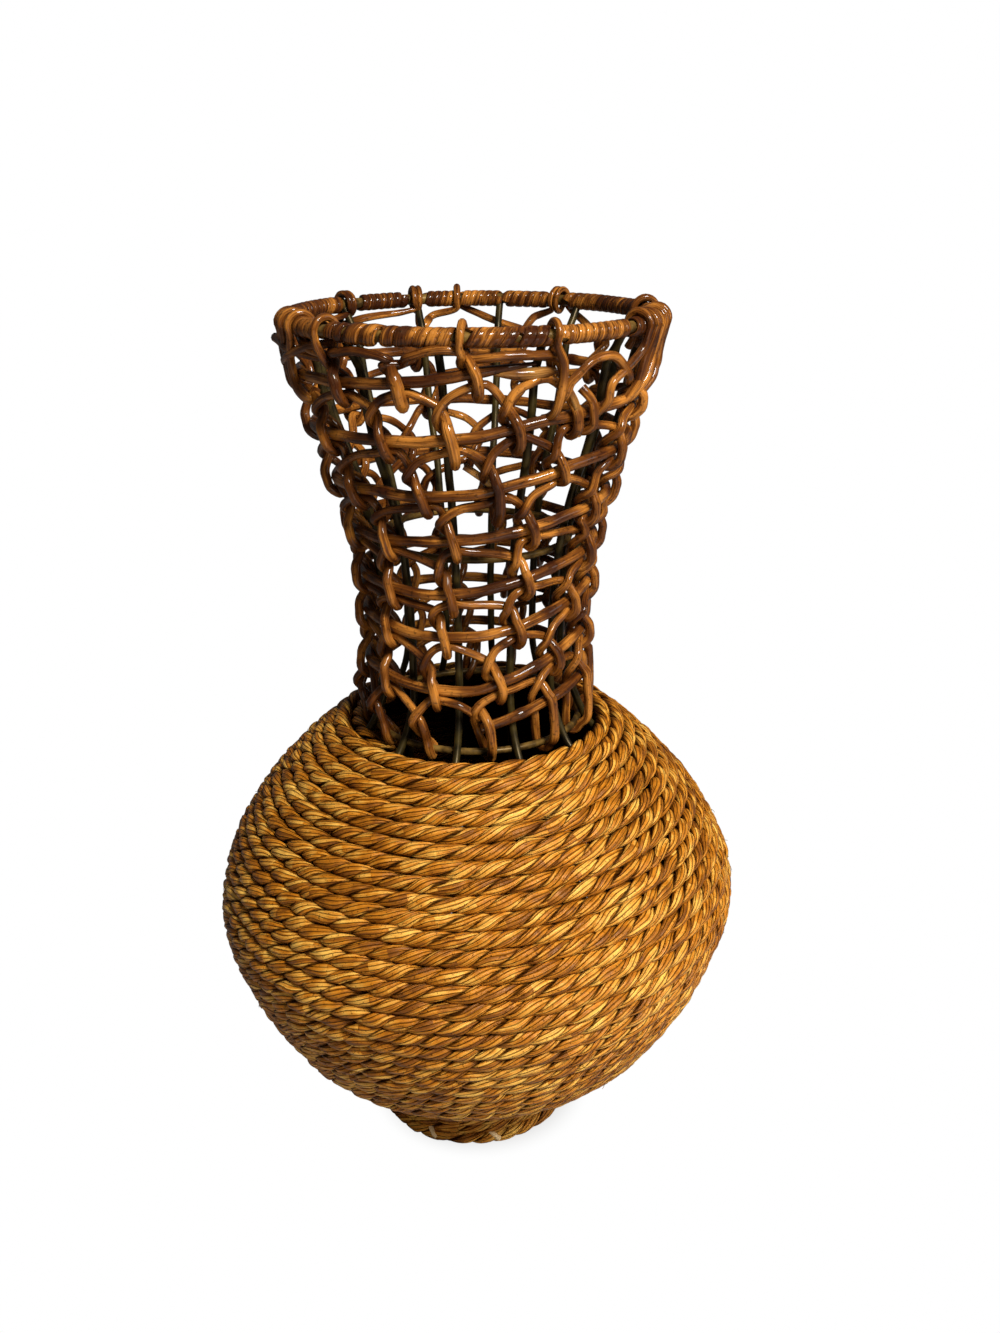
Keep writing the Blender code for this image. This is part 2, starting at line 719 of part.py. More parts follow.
def make_binding():
    """The cane binding round the rim hoop, left open for a short way at the back."""
    points = np.array(ring_points(RIM_RADIUS, RIM_HEIGHT))
    step = 360.0 / RING_POINTS
    skip = int(round(BINDING_OPENING_ANGLE / step))
    order = [(skip + 1 + i) % RING_POINTS for i in range(RING_POINTS - 1)]
    line = points[order]
    share = 0.5 * (1.0 - BINDING_OPENING / (2.0 * step))
    first = line[0] + (points[skip] - line[0]) * share
    last = line[-1] + (points[skip] - line[-1]) * share
    line = np.vstack((first[None], line, last[None]))
    sides = line * (1.0, 1.0, 0.0)
    bore = RIM_ROD_RADIUS + SEAT_GAP
    mesh_data = sweep(line, RIM_OUTER_RADIUS, 6, outward=sides, bore=bore)
    add_object("rim_binding", mesh_data, BINDING_CANE)


def make_board():
    """The round base board that the vase stands on."""
    mesh_data = bmesh.new()
    bmesh.ops.create_cone(
        mesh_data, cap_ends=True, cap_tris=False, segments=RING_POINTS,
        radius1=BOARD_RADIUS, radius2=BOARD_RADIUS, depth=BOARD_THICKNESS,
    )
    bmesh.ops.translate(mesh_data, vec=(0.0, 0.0, 0.5 * BOARD_THICKNESS), verts=mesh_data.verts)
    add_object("base_board", mesh_data, PLYWOOD, smooth=False)


def main():
    """Build the whole vase."""
    clear_scene()
    make_board()
    make_uprights()
    make_hoops()
    make_binding()
    make_rope()
    make_core()
    make_loopers()


main()
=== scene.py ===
"""Woven vase: a rope-wound belly, a looped rattan neck and a cane-bound rim.

Metres, +Z up, the front towards -Y. Angles are degrees round the vase, from
the front towards +X. Every piece but the board is grown by a geometry tree
along a line that lies where the frame's node lies.
"""
import math
import random
from functools import partial

import bpy
import numpy as np
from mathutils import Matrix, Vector


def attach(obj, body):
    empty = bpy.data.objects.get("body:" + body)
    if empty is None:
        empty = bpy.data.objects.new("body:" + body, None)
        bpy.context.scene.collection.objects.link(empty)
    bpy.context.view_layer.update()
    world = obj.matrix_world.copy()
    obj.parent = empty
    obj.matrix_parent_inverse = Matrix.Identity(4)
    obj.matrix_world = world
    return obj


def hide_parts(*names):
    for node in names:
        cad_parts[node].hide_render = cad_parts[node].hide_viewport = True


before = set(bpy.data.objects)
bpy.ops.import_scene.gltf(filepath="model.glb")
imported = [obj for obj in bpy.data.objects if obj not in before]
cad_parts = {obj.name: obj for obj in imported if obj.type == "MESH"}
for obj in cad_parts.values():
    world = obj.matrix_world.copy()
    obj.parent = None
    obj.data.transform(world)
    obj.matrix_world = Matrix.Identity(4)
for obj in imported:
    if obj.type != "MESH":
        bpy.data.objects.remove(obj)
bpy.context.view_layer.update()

bl_info = {
    "name": "Woven Vase",
    "version": (1, 0, 0),
    "blender": (4, 5, 0),
    "location": "View3D > Sidebar > Vase",
    "description": "A rope-wound vase with a looped rattan neck on an iron frame",
    "category": "Add Mesh",
}

# Belly outline, over the rope
FOOT_RADIUS = 0.0530
BELLY_RADIUS = 0.1330
BELLY_HEIGHT = 0.1350
SHOULDER_RADIUS = 0.0570
SHOULDER_HEIGHT = 0.2400
LOWER_FULLNESS = 1.60
UPPER_FULLNESS = 1.85
# The belly is drawn in above its foot turn, so that the turn stands clear of it
UNDERCUT_DEPTH = 0.0145
UNDERCUT_LOW = 0.0040
UNDERCUT_HIGH = 0.0600
UNDERCUT_LEAN = 0.62
# Side shift of the belly at four heights
SHIFT_HEIGHTS = (0.0, 0.095, 0.120, 0.145)
SIDE_SHIFTS = (-0.0042, -0.0022, -0.0020, 0.0)
OUTLINE_SAMPLES = 240

# Rope: most of a turn lies flat at the foot, then it climbs in one spiral to the shoulder
ROPE_START_ANGLE = -159.0
FOOT_TURN_SHARE = 0.72
FOOT_SLOT_HEIGHT = 0.0070
ROPE_TOP_HEIGHT = 0.2340
ROPE_MIDDLE_INSET = 0.00365
ROPE_LIFT = 0.0003
ROPE_SPACING = 0.0077
ROPE_END_TURN = 0.32
ROPE_POINTS_PER_TURN = 90
ROPE_PIECES = 6
# The last turn is drawn in and down against the neck, eased in over half a turn
TOP_PULL_TURNS = 0.85
TOP_PULL_EASE = 0.5
TOP_PULL_IN = 0.0022
TOP_PULL_DOWN = 0.0050
# The rope's upper end thins out and tucks in under the turn before
TUCK_LENGTH = 0.045
TUCK_THINNING = 0.6
TUCK_IN_SHARE = 0.10
TUCK_DOWN = 0.0045
# Straps of split cane hooked over the foot turn, and loose fibres
STRAP_ANGLES = (-30.0, 7.0)
STRAP_RADIUS = 0.0014
STRAP_PALENESS = 0.6
FIBRE_COUNT = 260
FIBRE_RADIUS = 0.00016

# Neck outline, through the middle of the core cane: radius and height
NECK_STATIONS = (
    (0.0548, 0.2320),
    (0.0523, 0.2700),
    (0.0585, 0.3340),
    (0.0745, 0.3835),
    (0.0822, 0.4240),
)
COLLAR_HEIGHT = 0.2316
RIM_HEIGHT = 0.4240
RIM_RADIUS = 0.0822

# Iron frame and board
COLLAR_HOOP_RADIUS = 0.0512
NECK_HOOP_HEIGHT = 0.3230
NECK_HOOP_RADIUS = 0.0450
BASE_HOOP_HEIGHT = 0.0058
BASE_HOOP_RADIUS = 0.0376
UPRIGHT_COUNT = 12
UPRIGHT_FIRST_ANGLE = -40.0
# The uprights lie this far inside the middle of the core cane
UPRIGHT_DEPTH = 0.00645
BOARD_RADIUS = 0.0462
BOARD_THICKNESS = 0.0040
BOARD_EDGE = 0.0005
BOARD_SIDES = 96

# Core cane: height of each turn at these angles in front; it climbs faster on the right
CORE_ANGLES = (-60.0, -40.0, -20.0, 0.0, 20.0, 40.0, 60.0)
CORE_HEIGHTS = (
    (0.2405, 0.2410, 0.2420, 0.2435, 0.2495, 0.2537, 0.2565),
    (0.2645, 0.2626, 0.2622, 0.2630, 0.2683, 0.2742, 0.2790),
    (0.2900, 0.2886, 0.2884, 0.2894, 0.2922, 0.2972, 0.3005),
    (0.3094, 0.3088, 0.3086, 0.3106, 0.3148, 0.3192, 0.3220),
    (0.3317, 0.3327, 0.3341, 0.3362, 0.3392, 0.3433, 0.3450),
    (0.3543, 0.3559, 0.3559, 0.3575, 0.3630, 0.3685, 0.3705),
    (0.3790, 0.3801, 0.3807, 0.3832, 0.3887, 0.3915, 0.3930),
    (0.4029, 0.4034, 0.4058, 0.4097, 0.4114, 0.4125, 0.4135),
)
CORE_START_ANGLE = 2.0
CORE_END_ANGLE = 18.0
# Splice by the core cane's upper end: angle, height beside the core in millimetres, width
SPLICE = (
    (6.0, -0.4, 0.35), (9.0, -0.9, 0.7), (12.5, -1.5, 0.95), (17.0, -1.9, 1.05),
    (21.0, -1.9, 0.95), (24.5, -1.7, 0.6),
)

# Stitches of the looping cane, per turn of the core: number of the first, then angles
STITCH_ANGLES = (
    (0, (6.0, 38.0)),
    (10, (-48.5, -20.0, 11.5, 42.5)),
    (22, (-46.0, -14.5, 20.5, 53.0)),
    (34, (-41.0, -10.5, 23.5, 61.0)),
    (45, (-66.0, -39.0, -8.0, 23.5, 55.0)),
    (57, (-50.0, -18.5, 8.5, 31.5, 60.0)),
    (68, (-56.0, -29.0, -6.5, 13.5, 32.0, 65.0)),
    (76, (-196.0, -158.0, -119.5, -81.0, -43.0, -21.5, 1.0, 20.0)),
)
STITCHES_PER_TURN = 12
# Loops that hang on the collar hoop alone: the stitches above them, and degrees to the left of these
COLLAR_STITCHES = (6, 7, 8, 9, 10, 11)
COLLAR_STITCH_LEAD = 4.0
# So many stitches at the start go round the collar hoop as well
LONG_STITCHES = 6

# Stitches unlike the rest: share of the usual reach up and down, and width of the cane in front
STITCH_SHAPES = {
    58: (1.0, 1.0, 1.2), 59: (1.15, 1.85, 1.3), 60: (1.0, 0.6, 1.1),
    69: (1.0, 0.95, 1.2), 70: (1.15, 1.35, 1.3), 71: (0.9, 1.2, 1.15), 73: (0.55, 1.1, 1.15),
    80: (0.8, 1.0, 1.25), 81: (0.75, 1.15, 1.5), 82: (0.75, 1.15, 1.15),
}
USUAL_STITCH = (1.0, 1.0, 1.14)

# Rim binding: from and to angle, wraps wound side by side at once, width of a wrap, stain
BINDING_SECTIONS = (
    (-64.0, -49.0, 1, 0.0062, 0.30), (-43.5, -36.5, 1, 0.0050, 0.50), (-36.0, -26.5, 1, 0.0074, 0.0),
    (-26.5, -17.5, 1, 0.0056, 0.10), (-18.0, -4.8, 2, 0.0046, 0.1), (-1.0, 12.0, 3, 0.0045, 0.0),
    (12.0, 21.4, 2, 0.0050, 0.05), (25.4, 49.0, 1, 0.0036, -0.1), (53.0, 62.0, 1, 0.0052, 0.1),
    (62.0, 100.0, 2, 0.0040, 0.1), (104.0, 144.0, 2, 0.0044, 0.15), (152.0, 168.0, 2, 0.0042, 0.0),
    (170.0, 183.5, 2, 0.0036, 0.0), (187.0, 196.5, 2, 0.0036, 0.0), (205.0, 222.5, 1, 0.0038, 0.25),
    (232.5, 262.0, 1, 0.0040, 0.1), (262.0, 297.0, 1, 0.0036, 0.05),
)

# Stage: each lamp's name, place, size and share of the key lamp's power
LAMPS = (
    ("key_lamp", (0.50, -0.86, 1.22), 0.36, 1.0),
    ("side_lamp", (1.00, -0.30, 0.70), 0.4, 0.06),
    ("low_lamp", (0.20, -1.00, 0.12), 0.4, 0.035),
)
LAMP_AIM = (0.0, 0.0, 0.24)
FLOOR_HALF_WIDTH = 6.0
# The floor shows its shadow near the foot and turns plain white between these two radii
FLOOR_WHITENS = (0.042, 0.064)
FLOOR_GLOW_AT_FOOT = 0.70
# The photo's camera: picture height and focal length in pixels, sensor height in millimetres,
# place in metres and turns in radians
PICTURE_HEIGHT = 1333
FOCAL_LENGTH = 1261.2
SENSOR_HEIGHT = 36.0
CAMERA_PLACE = (0.0, -0.586, 0.4845)
CAMERA_TURNS = (math.pi / 2.0 - 0.3745, 0.003, -0.0214)

MM = 0.001
WHITE = (1.0, 1.0, 1.0, 1.0)


def linear(code):
    """Linear colour of an sRGB hex code."""
    parts = [int(code[i:i + 2], 16) / 255.0 for i in (1, 3, 5)]
    return tuple(c / 12.92 if c <= 0.04045 else ((c + 0.055) / 1.055) ** 2.4 for c in parts)


# Sizes and colours that a user would change


def length_setting(name, description, metres, **limits):
    """Setting for a length."""
    return bpy.props.FloatProperty(
        name=name, description=description, default=metres, unit="LENGTH", **limits)


def colour_setting(name, description, code):
    """Setting for a colour, its default an sRGB hex code."""
    return bpy.props.FloatVectorProperty(
        name=name, description=description, subtype="COLOR", size=3, default=linear(code))


class VaseRopeSettings(bpy.types.PropertyGroup):
    """Sizes and colours of the rope."""

    lay: length_setting("Lay", "Length in which a ply goes once round the rope", 0.0240, min=0.01)
    ply_reach: length_setting("Ply reach", "From the rope's middle to a ply's middle", 0.00178, min=0.0)
    ply_half_width: length_setting("Ply half width", "Half of a ply's width", 0.00320, min=0.0005)
    ply_half_depth: length_setting("Ply half depth", "Half of a ply's thickness", 0.00240, min=0.0005)
    back_twist: bpy.props.FloatProperty(
        name="Back twist", description="Turns that a ply's fibres make against the lay, per lay",
        default=0.72)
    step: length_setting("Step", "Length between the rope's cross sections", 0.0017, min=0.0005)
    light: colour_setting("Light strip", "Palest dry strips", "#FBC156")
    middle: colour_setting("Middle strip", "Most of the strips", "#C47615")
    dark: colour_setting("Dark strip", "Browned strips", "#7A430D")
    # Colour of the painted shade in the creases between plies and on the inside of the vase
    crease_shade: colour_setting("Crease", "Between two plies and inside the vase", "#2C1203")


class VaseCaneSettings(bpy.types.PropertyGroup):
    """Sizes and colours of the core cane and the looping cane."""

    core_radius: length_setting("Core radius", "Radius of the core cane", 0.00248)
    loop_radius: length_setting("Loop radius", "Radius of the looping cane", 0.00194)
    light: colour_setting("Light cane", "Amber, where the varnish is thin", "#B8742C")
    middle: colour_setting("Middle cane", "Stained rattan", "#683810")
    dark: colour_setting("Dark cane", "Where the stain is thick", "#381808")


class VaseEndSettings(bpy.types.PropertyGroup):
    """Colours of cut cane ends and straps, which hold no stain."""

    light: colour_setting("Light end", "Fresh split cane", "#C99552")
    middle: colour_setting("Middle end", "Bare cane", "#9C6A30")
    dark: colour_setting("Dark end", "Bare cane, browned", "#5A3212")
    strap: colour_setting("Strap", "Pale split cane round the foot", "#FFDCA4")


class VaseRimSettings(bpy.types.PropertyGroup):
    """Sizes of the rim and its binding."""

    rod_radius: length_setting("Rim rod radius", "Radius of the iron rim hoop", 0.0026)
    strip_half_width: length_setting("Strip half width", "Half of the flat cane's width", 0.00245)
    strip_half_depth: length_setting("Strip half thickness", "Half of the flat cane's thickness", 0.00085)


class VaseFrameSettings(bpy.types.PropertyGroup):
    """Sizes and colours of the iron frame."""

    upright_radius: length_setting("Upright radius", "Radius of the upright rods", 0.0018)
    hoop_radius: length_setting("Hoop rod radius", "Radius of the hoops' rod", 0.0017)
    iron: colour_setting("Iron", "Black skin of the rods", "#120F08")
    iron_worn: colour_setting("Worn iron", "Rods where the skin is worn", "#362B10")
    rust_dark: colour_setting("Dark rust", "Old rust on the hoops", "#33240F")
    rust: colour_setting("Rust", "Thin rust on the hoops", "#7E5E2A")


class VaseStageSettings(bpy.types.PropertyGroup):
    """Light and floor."""

    key_power: bpy.props.FloatProperty(
        name="Key power", description="Power of the soft lamp", default=29.5, unit="POWER")
    fill_strength: bpy.props.FloatProperty(
        name="Fill strength", description="Strength of the light from all round", default=0.09)
    floor: colour_setting("Floor", "Colour of the floor", "#A8A6A2")


# Outlines and lines


def place(radius, angle, height):
    """World point of a radius, an angle in degrees and a height."""
    turn = math.radians(angle)
    return np.array((radius * math.sin(turn), -radius * math.cos(turn), height))


class Outline:
    """A line in radius and height, read by the distance along it."""

    def __init__(self, radii, heights):
        self.radii = np.asarray(radii, dtype=float)
        self.heights = np.asarray(heights, dtype=float)
        steps = np.hypot(np.diff(self.radii), np.diff(self.heights))
        self.along = np.concatenate(((0.0,), np.cumsum(steps)))
        self.length = self.along[-1]

    def at(self, distance):
        """Radius and height at a distance, straight on past either end."""
        inside = min(max(distance, 0.0), self.length)
        radius = np.interp(inside, self.along, self.radii)
        height = np.interp(inside, self.along, self.heights)
        way_r, way_z = self.way(inside)
        over = distance - inside
        return radius + way_r * over, height + way_z * over

    def way(self, distance):
        """Direction of the line at a distance."""
        reach = 0.002
        low = min(max(distance - reach, 0.0), self.length - 2.0 * reach)
        high = low + 2.0 * reach
        step_r = np.interp(high, self.along, self.radii) - np.interp(low, self.along, self.radii)
        step_z = np.interp(high, self.along, self.heights) - np.interp(low, self.along, self.heights)
        size = math.hypot(step_r, step_z)
        return step_r / size, step_z / size

    def off(self, distance, out):
        """Radius and height at a distance, moved out square to the line."""
        radius, height = self.at(distance)
        way_r, way_z = self.way(distance)
        return radius + way_z * out, height - way_r * out

    def distance_at_height(self, height):
        """Distance along the line where it reaches a height."""
        inside = min(max(height, self.heights[0]), self.heights[-1])
        distance = np.interp(inside, self.heights, self.along)
        return distance + (height - inside) / self.way(distance)[1]


def neck_outline():
    """Smooth line through the neck's stations."""
    radii = np.array([r for r, z in NECK_STATIONS])
    heights = np.array([z for r, z in NECK_STATIONS])
    slopes = np.gradient(radii, heights)
    samples = np.linspace(heights[0], heights[-1], OUTLINE_SAMPLES)
    values = []
    for z in samples:
        k = min(int(np.searchsorted(heights, z, side="right")) - 1, len(heights) - 2)
        gap = heights[k + 1] - heights[k]
        t = (z - heights[k]) / gap
        values.append(
            (2 * t ** 3 - 3 * t ** 2 + 1) * radii[k]
            + (t ** 3 - 2 * t ** 2 + t) * gap * slopes[k]
            + (3 * t ** 2 - 2 * t ** 3) * radii[k + 1]
            + (t ** 3 - t ** 2) * gap * slopes[k + 1]
        )
    return Outline(values, samples)


def belly_radius(height):
    """Outer radius over the rope at a height."""
    if height < BELLY_HEIGHT:
        share = (BELLY_HEIGHT - height) / BELLY_HEIGHT
        radius = FOOT_RADIUS + (BELLY_RADIUS - FOOT_RADIUS) * (1.0 - share ** LOWER_FULLNESS)
        share = (height - UNDERCUT_LOW) / (UNDERCUT_HIGH - UNDERCUT_LOW)
        if 0.0 < share < 1.0:
            radius -= UNDERCUT_DEPTH * math.sin(math.pi * share ** UNDERCUT_LEAN)
        return radius
    share = (height - BELLY_HEIGHT) / (SHOULDER_HEIGHT - BELLY_HEIGHT)
    return SHOULDER_RADIUS + (BELLY_RADIUS - SHOULDER_RADIUS) * (1.0 - share ** UPPER_FULLNESS)


def shifted(points):
    """Points of the belly, moved sideways where it leans."""
    shift = np.interp(points[:, 2], SHIFT_HEIGHTS, SIDE_SHIFTS)
    return points + np.outer(shift, (1.0, 0.0, 0.0))


def rope_outline():
    """Line of the rope's middle: the foot turn, then the belly from the slot up."""
    heights = np.linspace(FOOT_SLOT_HEIGHT, ROPE_TOP_HEIGHT, OUTLINE_SAMPLES)
    skin = Outline([belly_radius(z) for z in heights], heights)
    radii = [FOOT_RADIUS - ROPE_MIDDLE_INSET]
    levels = [ROPE_MIDDLE_INSET + ROPE_LIFT]
    for distance in skin.along:
        radius, height = skin.off(distance, -ROPE_MIDDLE_INSET)
        radii.append(radius)
        levels.append(height)
    return Outline(radii, levels)


NECK = neck_outline()
BELLY = rope_outline()


def rope_turns():
    """Number of rope turns from the foot to the shoulder."""
    return 1.0 + math.floor((BELLY.length - BELLY.along[1]) / ROPE_SPACING)


def rope_distance(turn):
    """Distance along the belly outline after a number of turns."""
    slot = BELLY.along[1]
    if turn <= FOOT_TURN_SHARE:
        return 0.0
    if turn <= 1.0:
        share = (turn - FOOT_TURN_SHARE) / (1.0 - FOOT_TURN_SHARE)
        return slot * share * share * (3.0 - 2.0 * share)
    return slot + (BELLY.length - slot) * (turn - 1.0) / (rope_turns() - 1.0)


def core_height(angle):
    """Height of the core cane at an angle counted on round all its turns."""
    spots = [360.0 * turn + front for turn in range(len(CORE_HEIGHTS)) for front in CORE_ANGLES]
    return float(np.interp(angle, spots, np.ravel(CORE_HEIGHTS)))


def stitch_angles():
    """Angles of all stitches along the core, evenly between those that are set."""
    numbers = []
    angles = []
    for turn, (first, front) in enumerate(STITCH_ANGLES):
        for i, angle in enumerate(front):
            numbers.append(first + i)
            angles.append(360.0 * turn + angle)
    return np.interp(np.arange(numbers[-1] + 1), numbers, angles)


STITCHES = stitch_angles()
LAST_STITCH = len(STITCHES) - 1


def neck_point(angle, height, out):
    """World point off the neck's line at an angle and a height."""
    radius, level = NECK.off(NECK.distance_at_height(height), out)
    return place(radius, angle, level)


def core_point(angle, across, up, out):
    """World point beside the core cane: across to the right, up the neck, and out."""
    height = core_height(angle)
    radius = NECK.at(NECK.distance_at_height(height))[0]
    turned = angle + math.degrees(across / radius)
    along = NECK.distance_at_height(core_height(turned)) + up
    radius, level = NECK.off(along, out)
    return place(radius, turned, level)


def upright_line():
    """Radius and height of an upright: inside the rope, up the neck, to the rim."""
    rod = bpy.context.scene.vase_frame.upright_radius
    # The foot is bent in over the base hoop
    line = [(BASE_HOOP_RADIUS - rod, BASE_HOOP_HEIGHT + 0.0039),
            (BASE_HOOP_RADIUS + rod, BASE_HOOP_HEIGHT + 0.0042)]
    # Inside the rope the rods clear it, from 6 mm up its slope to 12 mm short of its end
    belly_share = 0.989
    clearance = 0.0006
    inward = ROPE_MIDDLE_INSET + rod + clearance
    for distance in np.linspace(BELLY.along[1] + 0.006, BELLY.length - 0.012, 11):
        radius, height = BELLY.at(distance)
        way_r, way_z = BELLY.way(distance)
        line.append((radius * belly_share - way_z * inward, height + way_r * inward))
    # Outside the collar hoop, then in behind the canes
    beside_hoop = 0.0036
    line.append((COLLAR_HOOP_RADIUS + beside_hoop, COLLAR_HEIGHT))
    low = NECK.distance_at_height(COLLAR_HEIGHT + 0.020)
    high = NECK.distance_at_height(RIM_HEIGHT) - 0.0172
    for distance in np.linspace(low, high, 9):
        line.append(NECK.off(distance, -UPRIGHT_DEPTH))
    # The top leans out under the rim hoop
    lean = math.radians(60.0)
    for reach in (0.0106, 0.0048, 0.0012):
        line.append((RIM_RADIUS - reach * math.cos(lean), RIM_HEIGHT - reach * math.sin(lean)))
    return line


# Nodes


def fill_inputs(tree, node, inputs):
    """Fill a node's inputs, by name or in their order, with values, sockets or nodes."""
    pairs = inputs.items() if isinstance(inputs, dict) else enumerate(inputs)
    for key, value in pairs:
        socket = node.inputs[key]
        if isinstance(value, bpy.types.Node):
            value = next(s for s in value.outputs if s.enabled)
        if isinstance(value, bpy.types.NodeSocket):
            tree.links.new(value, socket)
        else:
            socket.default_value = value


def add_node(tree, kind, inputs=(), **settings):
    """Add a node, set its properties, then fill its inputs."""
    node = tree.nodes.new(kind)
    for name, value in settings.items():
        setattr(node, name, value)
    fill_inputs(tree, node, inputs)
    return node


def made_once(made, name, maker, *values):
    """The tree or material of that name among those made, or a new one from its maker."""
    if name in made:
        return made[name]
    return maker(name, *values)


def new_tree(name, sizes):
    """Geometry tree with a line in, a mesh out and named sizes; returns it and its sizes' sockets."""
    tree = bpy.data.node_groups.new(name, "GeometryNodeTree")
    tree.interface.new_socket("Mesh", in_out="OUTPUT", socket_type="NodeSocketGeometry")
    tree.interface.new_socket("Line", in_out="INPUT", socket_type="NodeSocketGeometry")
    for label, usual in sizes.items():
        kind = "NodeSocketInt" if isinstance(usual, int) else "NodeSocketFloat"
        tree.interface.new_socket(label, in_out="INPUT", socket_type=kind).default_value = usual
    tree.interface.new_socket("Finish", in_out="INPUT", socket_type="NodeSocketMaterial")
    return tree, tree.nodes.new("NodeGroupInput").outputs


def unit_ring(add, size):
    """Ring of radius 1 for a cross section, whose points keep their own coordinates."""
    ring = add("GeometryNodeCurvePrimitiveCircle", {
        "Resolution": size["Sides"], "Radius": 1.0}, mode="RADIUS")
    spot = add("GeometryNodeInputPosition")
    return add("GeometryNodeStoreNamedAttribute", {
        "Geometry": ring, "Name": "section", "Value": spot}, data_type="FLOAT_VECTOR")


def skin_line(add, line, ring, thick):
    """Skin a line with a ring in its thickness; gives the skin and the ring's coordinates on it."""
    line = add("GeometryNodeStoreNamedAttribute", {"Geometry": line, "Name": "thick", "Value": thick})
    thick = add("GeometryNodeInputNamedAttribute", {"Name": "thick"})
    skin = add("GeometryNodeCurveToMesh", {
        "Curve": line, "Profile Curve": ring, "Scale": thick, "Fill Caps": True})
    section = add("GeometryNodeInputNamedAttribute", {"Name": "section"}, data_type="FLOAT_VECTOR")
    return skin, section


def end_tree(add, size, skin):
    """Smooth the skin, make it a plain mesh, give it its material and hand it out."""
    skin = add("GeometryNodeSetShadeSmooth", {"Geometry": skin})
    skin = add("GeometryNodeRealizeInstances", {"Geometry": skin})
    skin = add("GeometryNodeSetMaterial", {"Geometry": skin, "Material": size["Finish"]})
    add("NodeGroupOutput", {"Mesh": skin})


def cane_tree(name):
    """Round cane along a line: uneven, a little crooked, with a swelling at each joint."""
    tree, size = new_tree(name, {
        "Radius": 0.002, "Sides": 10, "Step": 0.0016, "Crook": 0.0004, "Unevenness": 0.12,
        "Joint Spacing": 0.16, "Joint Swell": 0.0, "Seed": 0.0})
    add = partial(add_node, tree)
    line = add("GeometryNodeMeshToCurve", {"Mesh": size["Line"]})
    line = add("GeometryNodeCurveSplineType", {"Curve": line}, spline_type="CATMULL_ROM")
    line = add("GeometryNodeSetSplineResolution", {"Geometry": line, "Resolution": 12})
    line = add("GeometryNodeResampleCurve", {"Curve": line, "Length": size["Step"]}, mode="LENGTH")
    # Crook: the line wanders over about 17 mm
    spot = add("GeometryNodeInputPosition")
    wander = add("ShaderNodeTexNoise", {
        "Vector": spot, "W": size["Seed"], "Scale": 60.0, "Detail": 1.0}, noise_dimensions="4D")
    wander = add("ShaderNodeVectorMath", (wander.outputs["Color"], (0.5, 0.5, 0.5)), operation="SUBTRACT")
    wander = add("ShaderNodeVectorMath", {0: wander, "Scale": size["Crook"]}, operation="SCALE")
    line = add("GeometryNodeSetPosition", {"Geometry": line, "Offset": wander})
    along = add("GeometryNodeSplineParameter").outputs["Length"]
    along = add("ShaderNodeMath", (along, size["Seed"]), operation="ADD")
    line = add("GeometryNodeStoreNamedAttribute", {"Geometry": line, "Name": "along", "Value": along})
    along, width = [add("GeometryNodeInputNamedAttribute", {"Name": label}) for label in ("along", "width")]
    # Thickness: uneven over about 18 mm, and swollen over 9 mm at each joint
    swell = add("ShaderNodeTexNoise", {"W": along, "Scale": 55.0, "Detail": 2.0}, noise_dimensions="1D")
    swell = add("ShaderNodeMath", (swell, 0.5), operation="SUBTRACT")
    swell = add("ShaderNodeMath", (swell, size["Unevenness"], 1.0), operation="MULTIPLY_ADD")
    joint = add("ShaderNodeMath", (along, size["Joint Spacing"]), operation="PINGPONG")
    joint = add("ShaderNodeMapRange", (joint, 0.0, 0.0045, 1.0, 0.0), interpolation_type="SMOOTHSTEP")
    line = add("GeometryNodeStoreNamedAttribute", {"Geometry": line, "Name": "joint", "Value": joint})
    bulge = add("ShaderNodeMath", (joint, size["Joint Swell"], 1.0), operation="MULTIPLY_ADD")
    thick = add("ShaderNodeMath", (swell, bulge), operation="MULTIPLY")
    thick = add("ShaderNodeMath", (thick, width), operation="MULTIPLY")
    thick = add("ShaderNodeMath", (thick, size["Radius"]), operation="MULTIPLY")
    skin, section = skin_line(add, line, unit_ring(add, size), thick)
    # Grain runs along the cane
    section = add("ShaderNodeVectorMath", {0: section, "Scale": size["Radius"]}, operation="SCALE")
    section = add("ShaderNodeSeparateXYZ", (section,)).outputs
    grain = add("ShaderNodeCombineXYZ", (section[0], section[1], along))
    skin = add("GeometryNodeStoreNamedAttribute", {
        "Geometry": skin, "Name": "grain", "Value": grain}, data_type="FLOAT_VECTOR")
    end_tree(add, size, skin)
    return tree


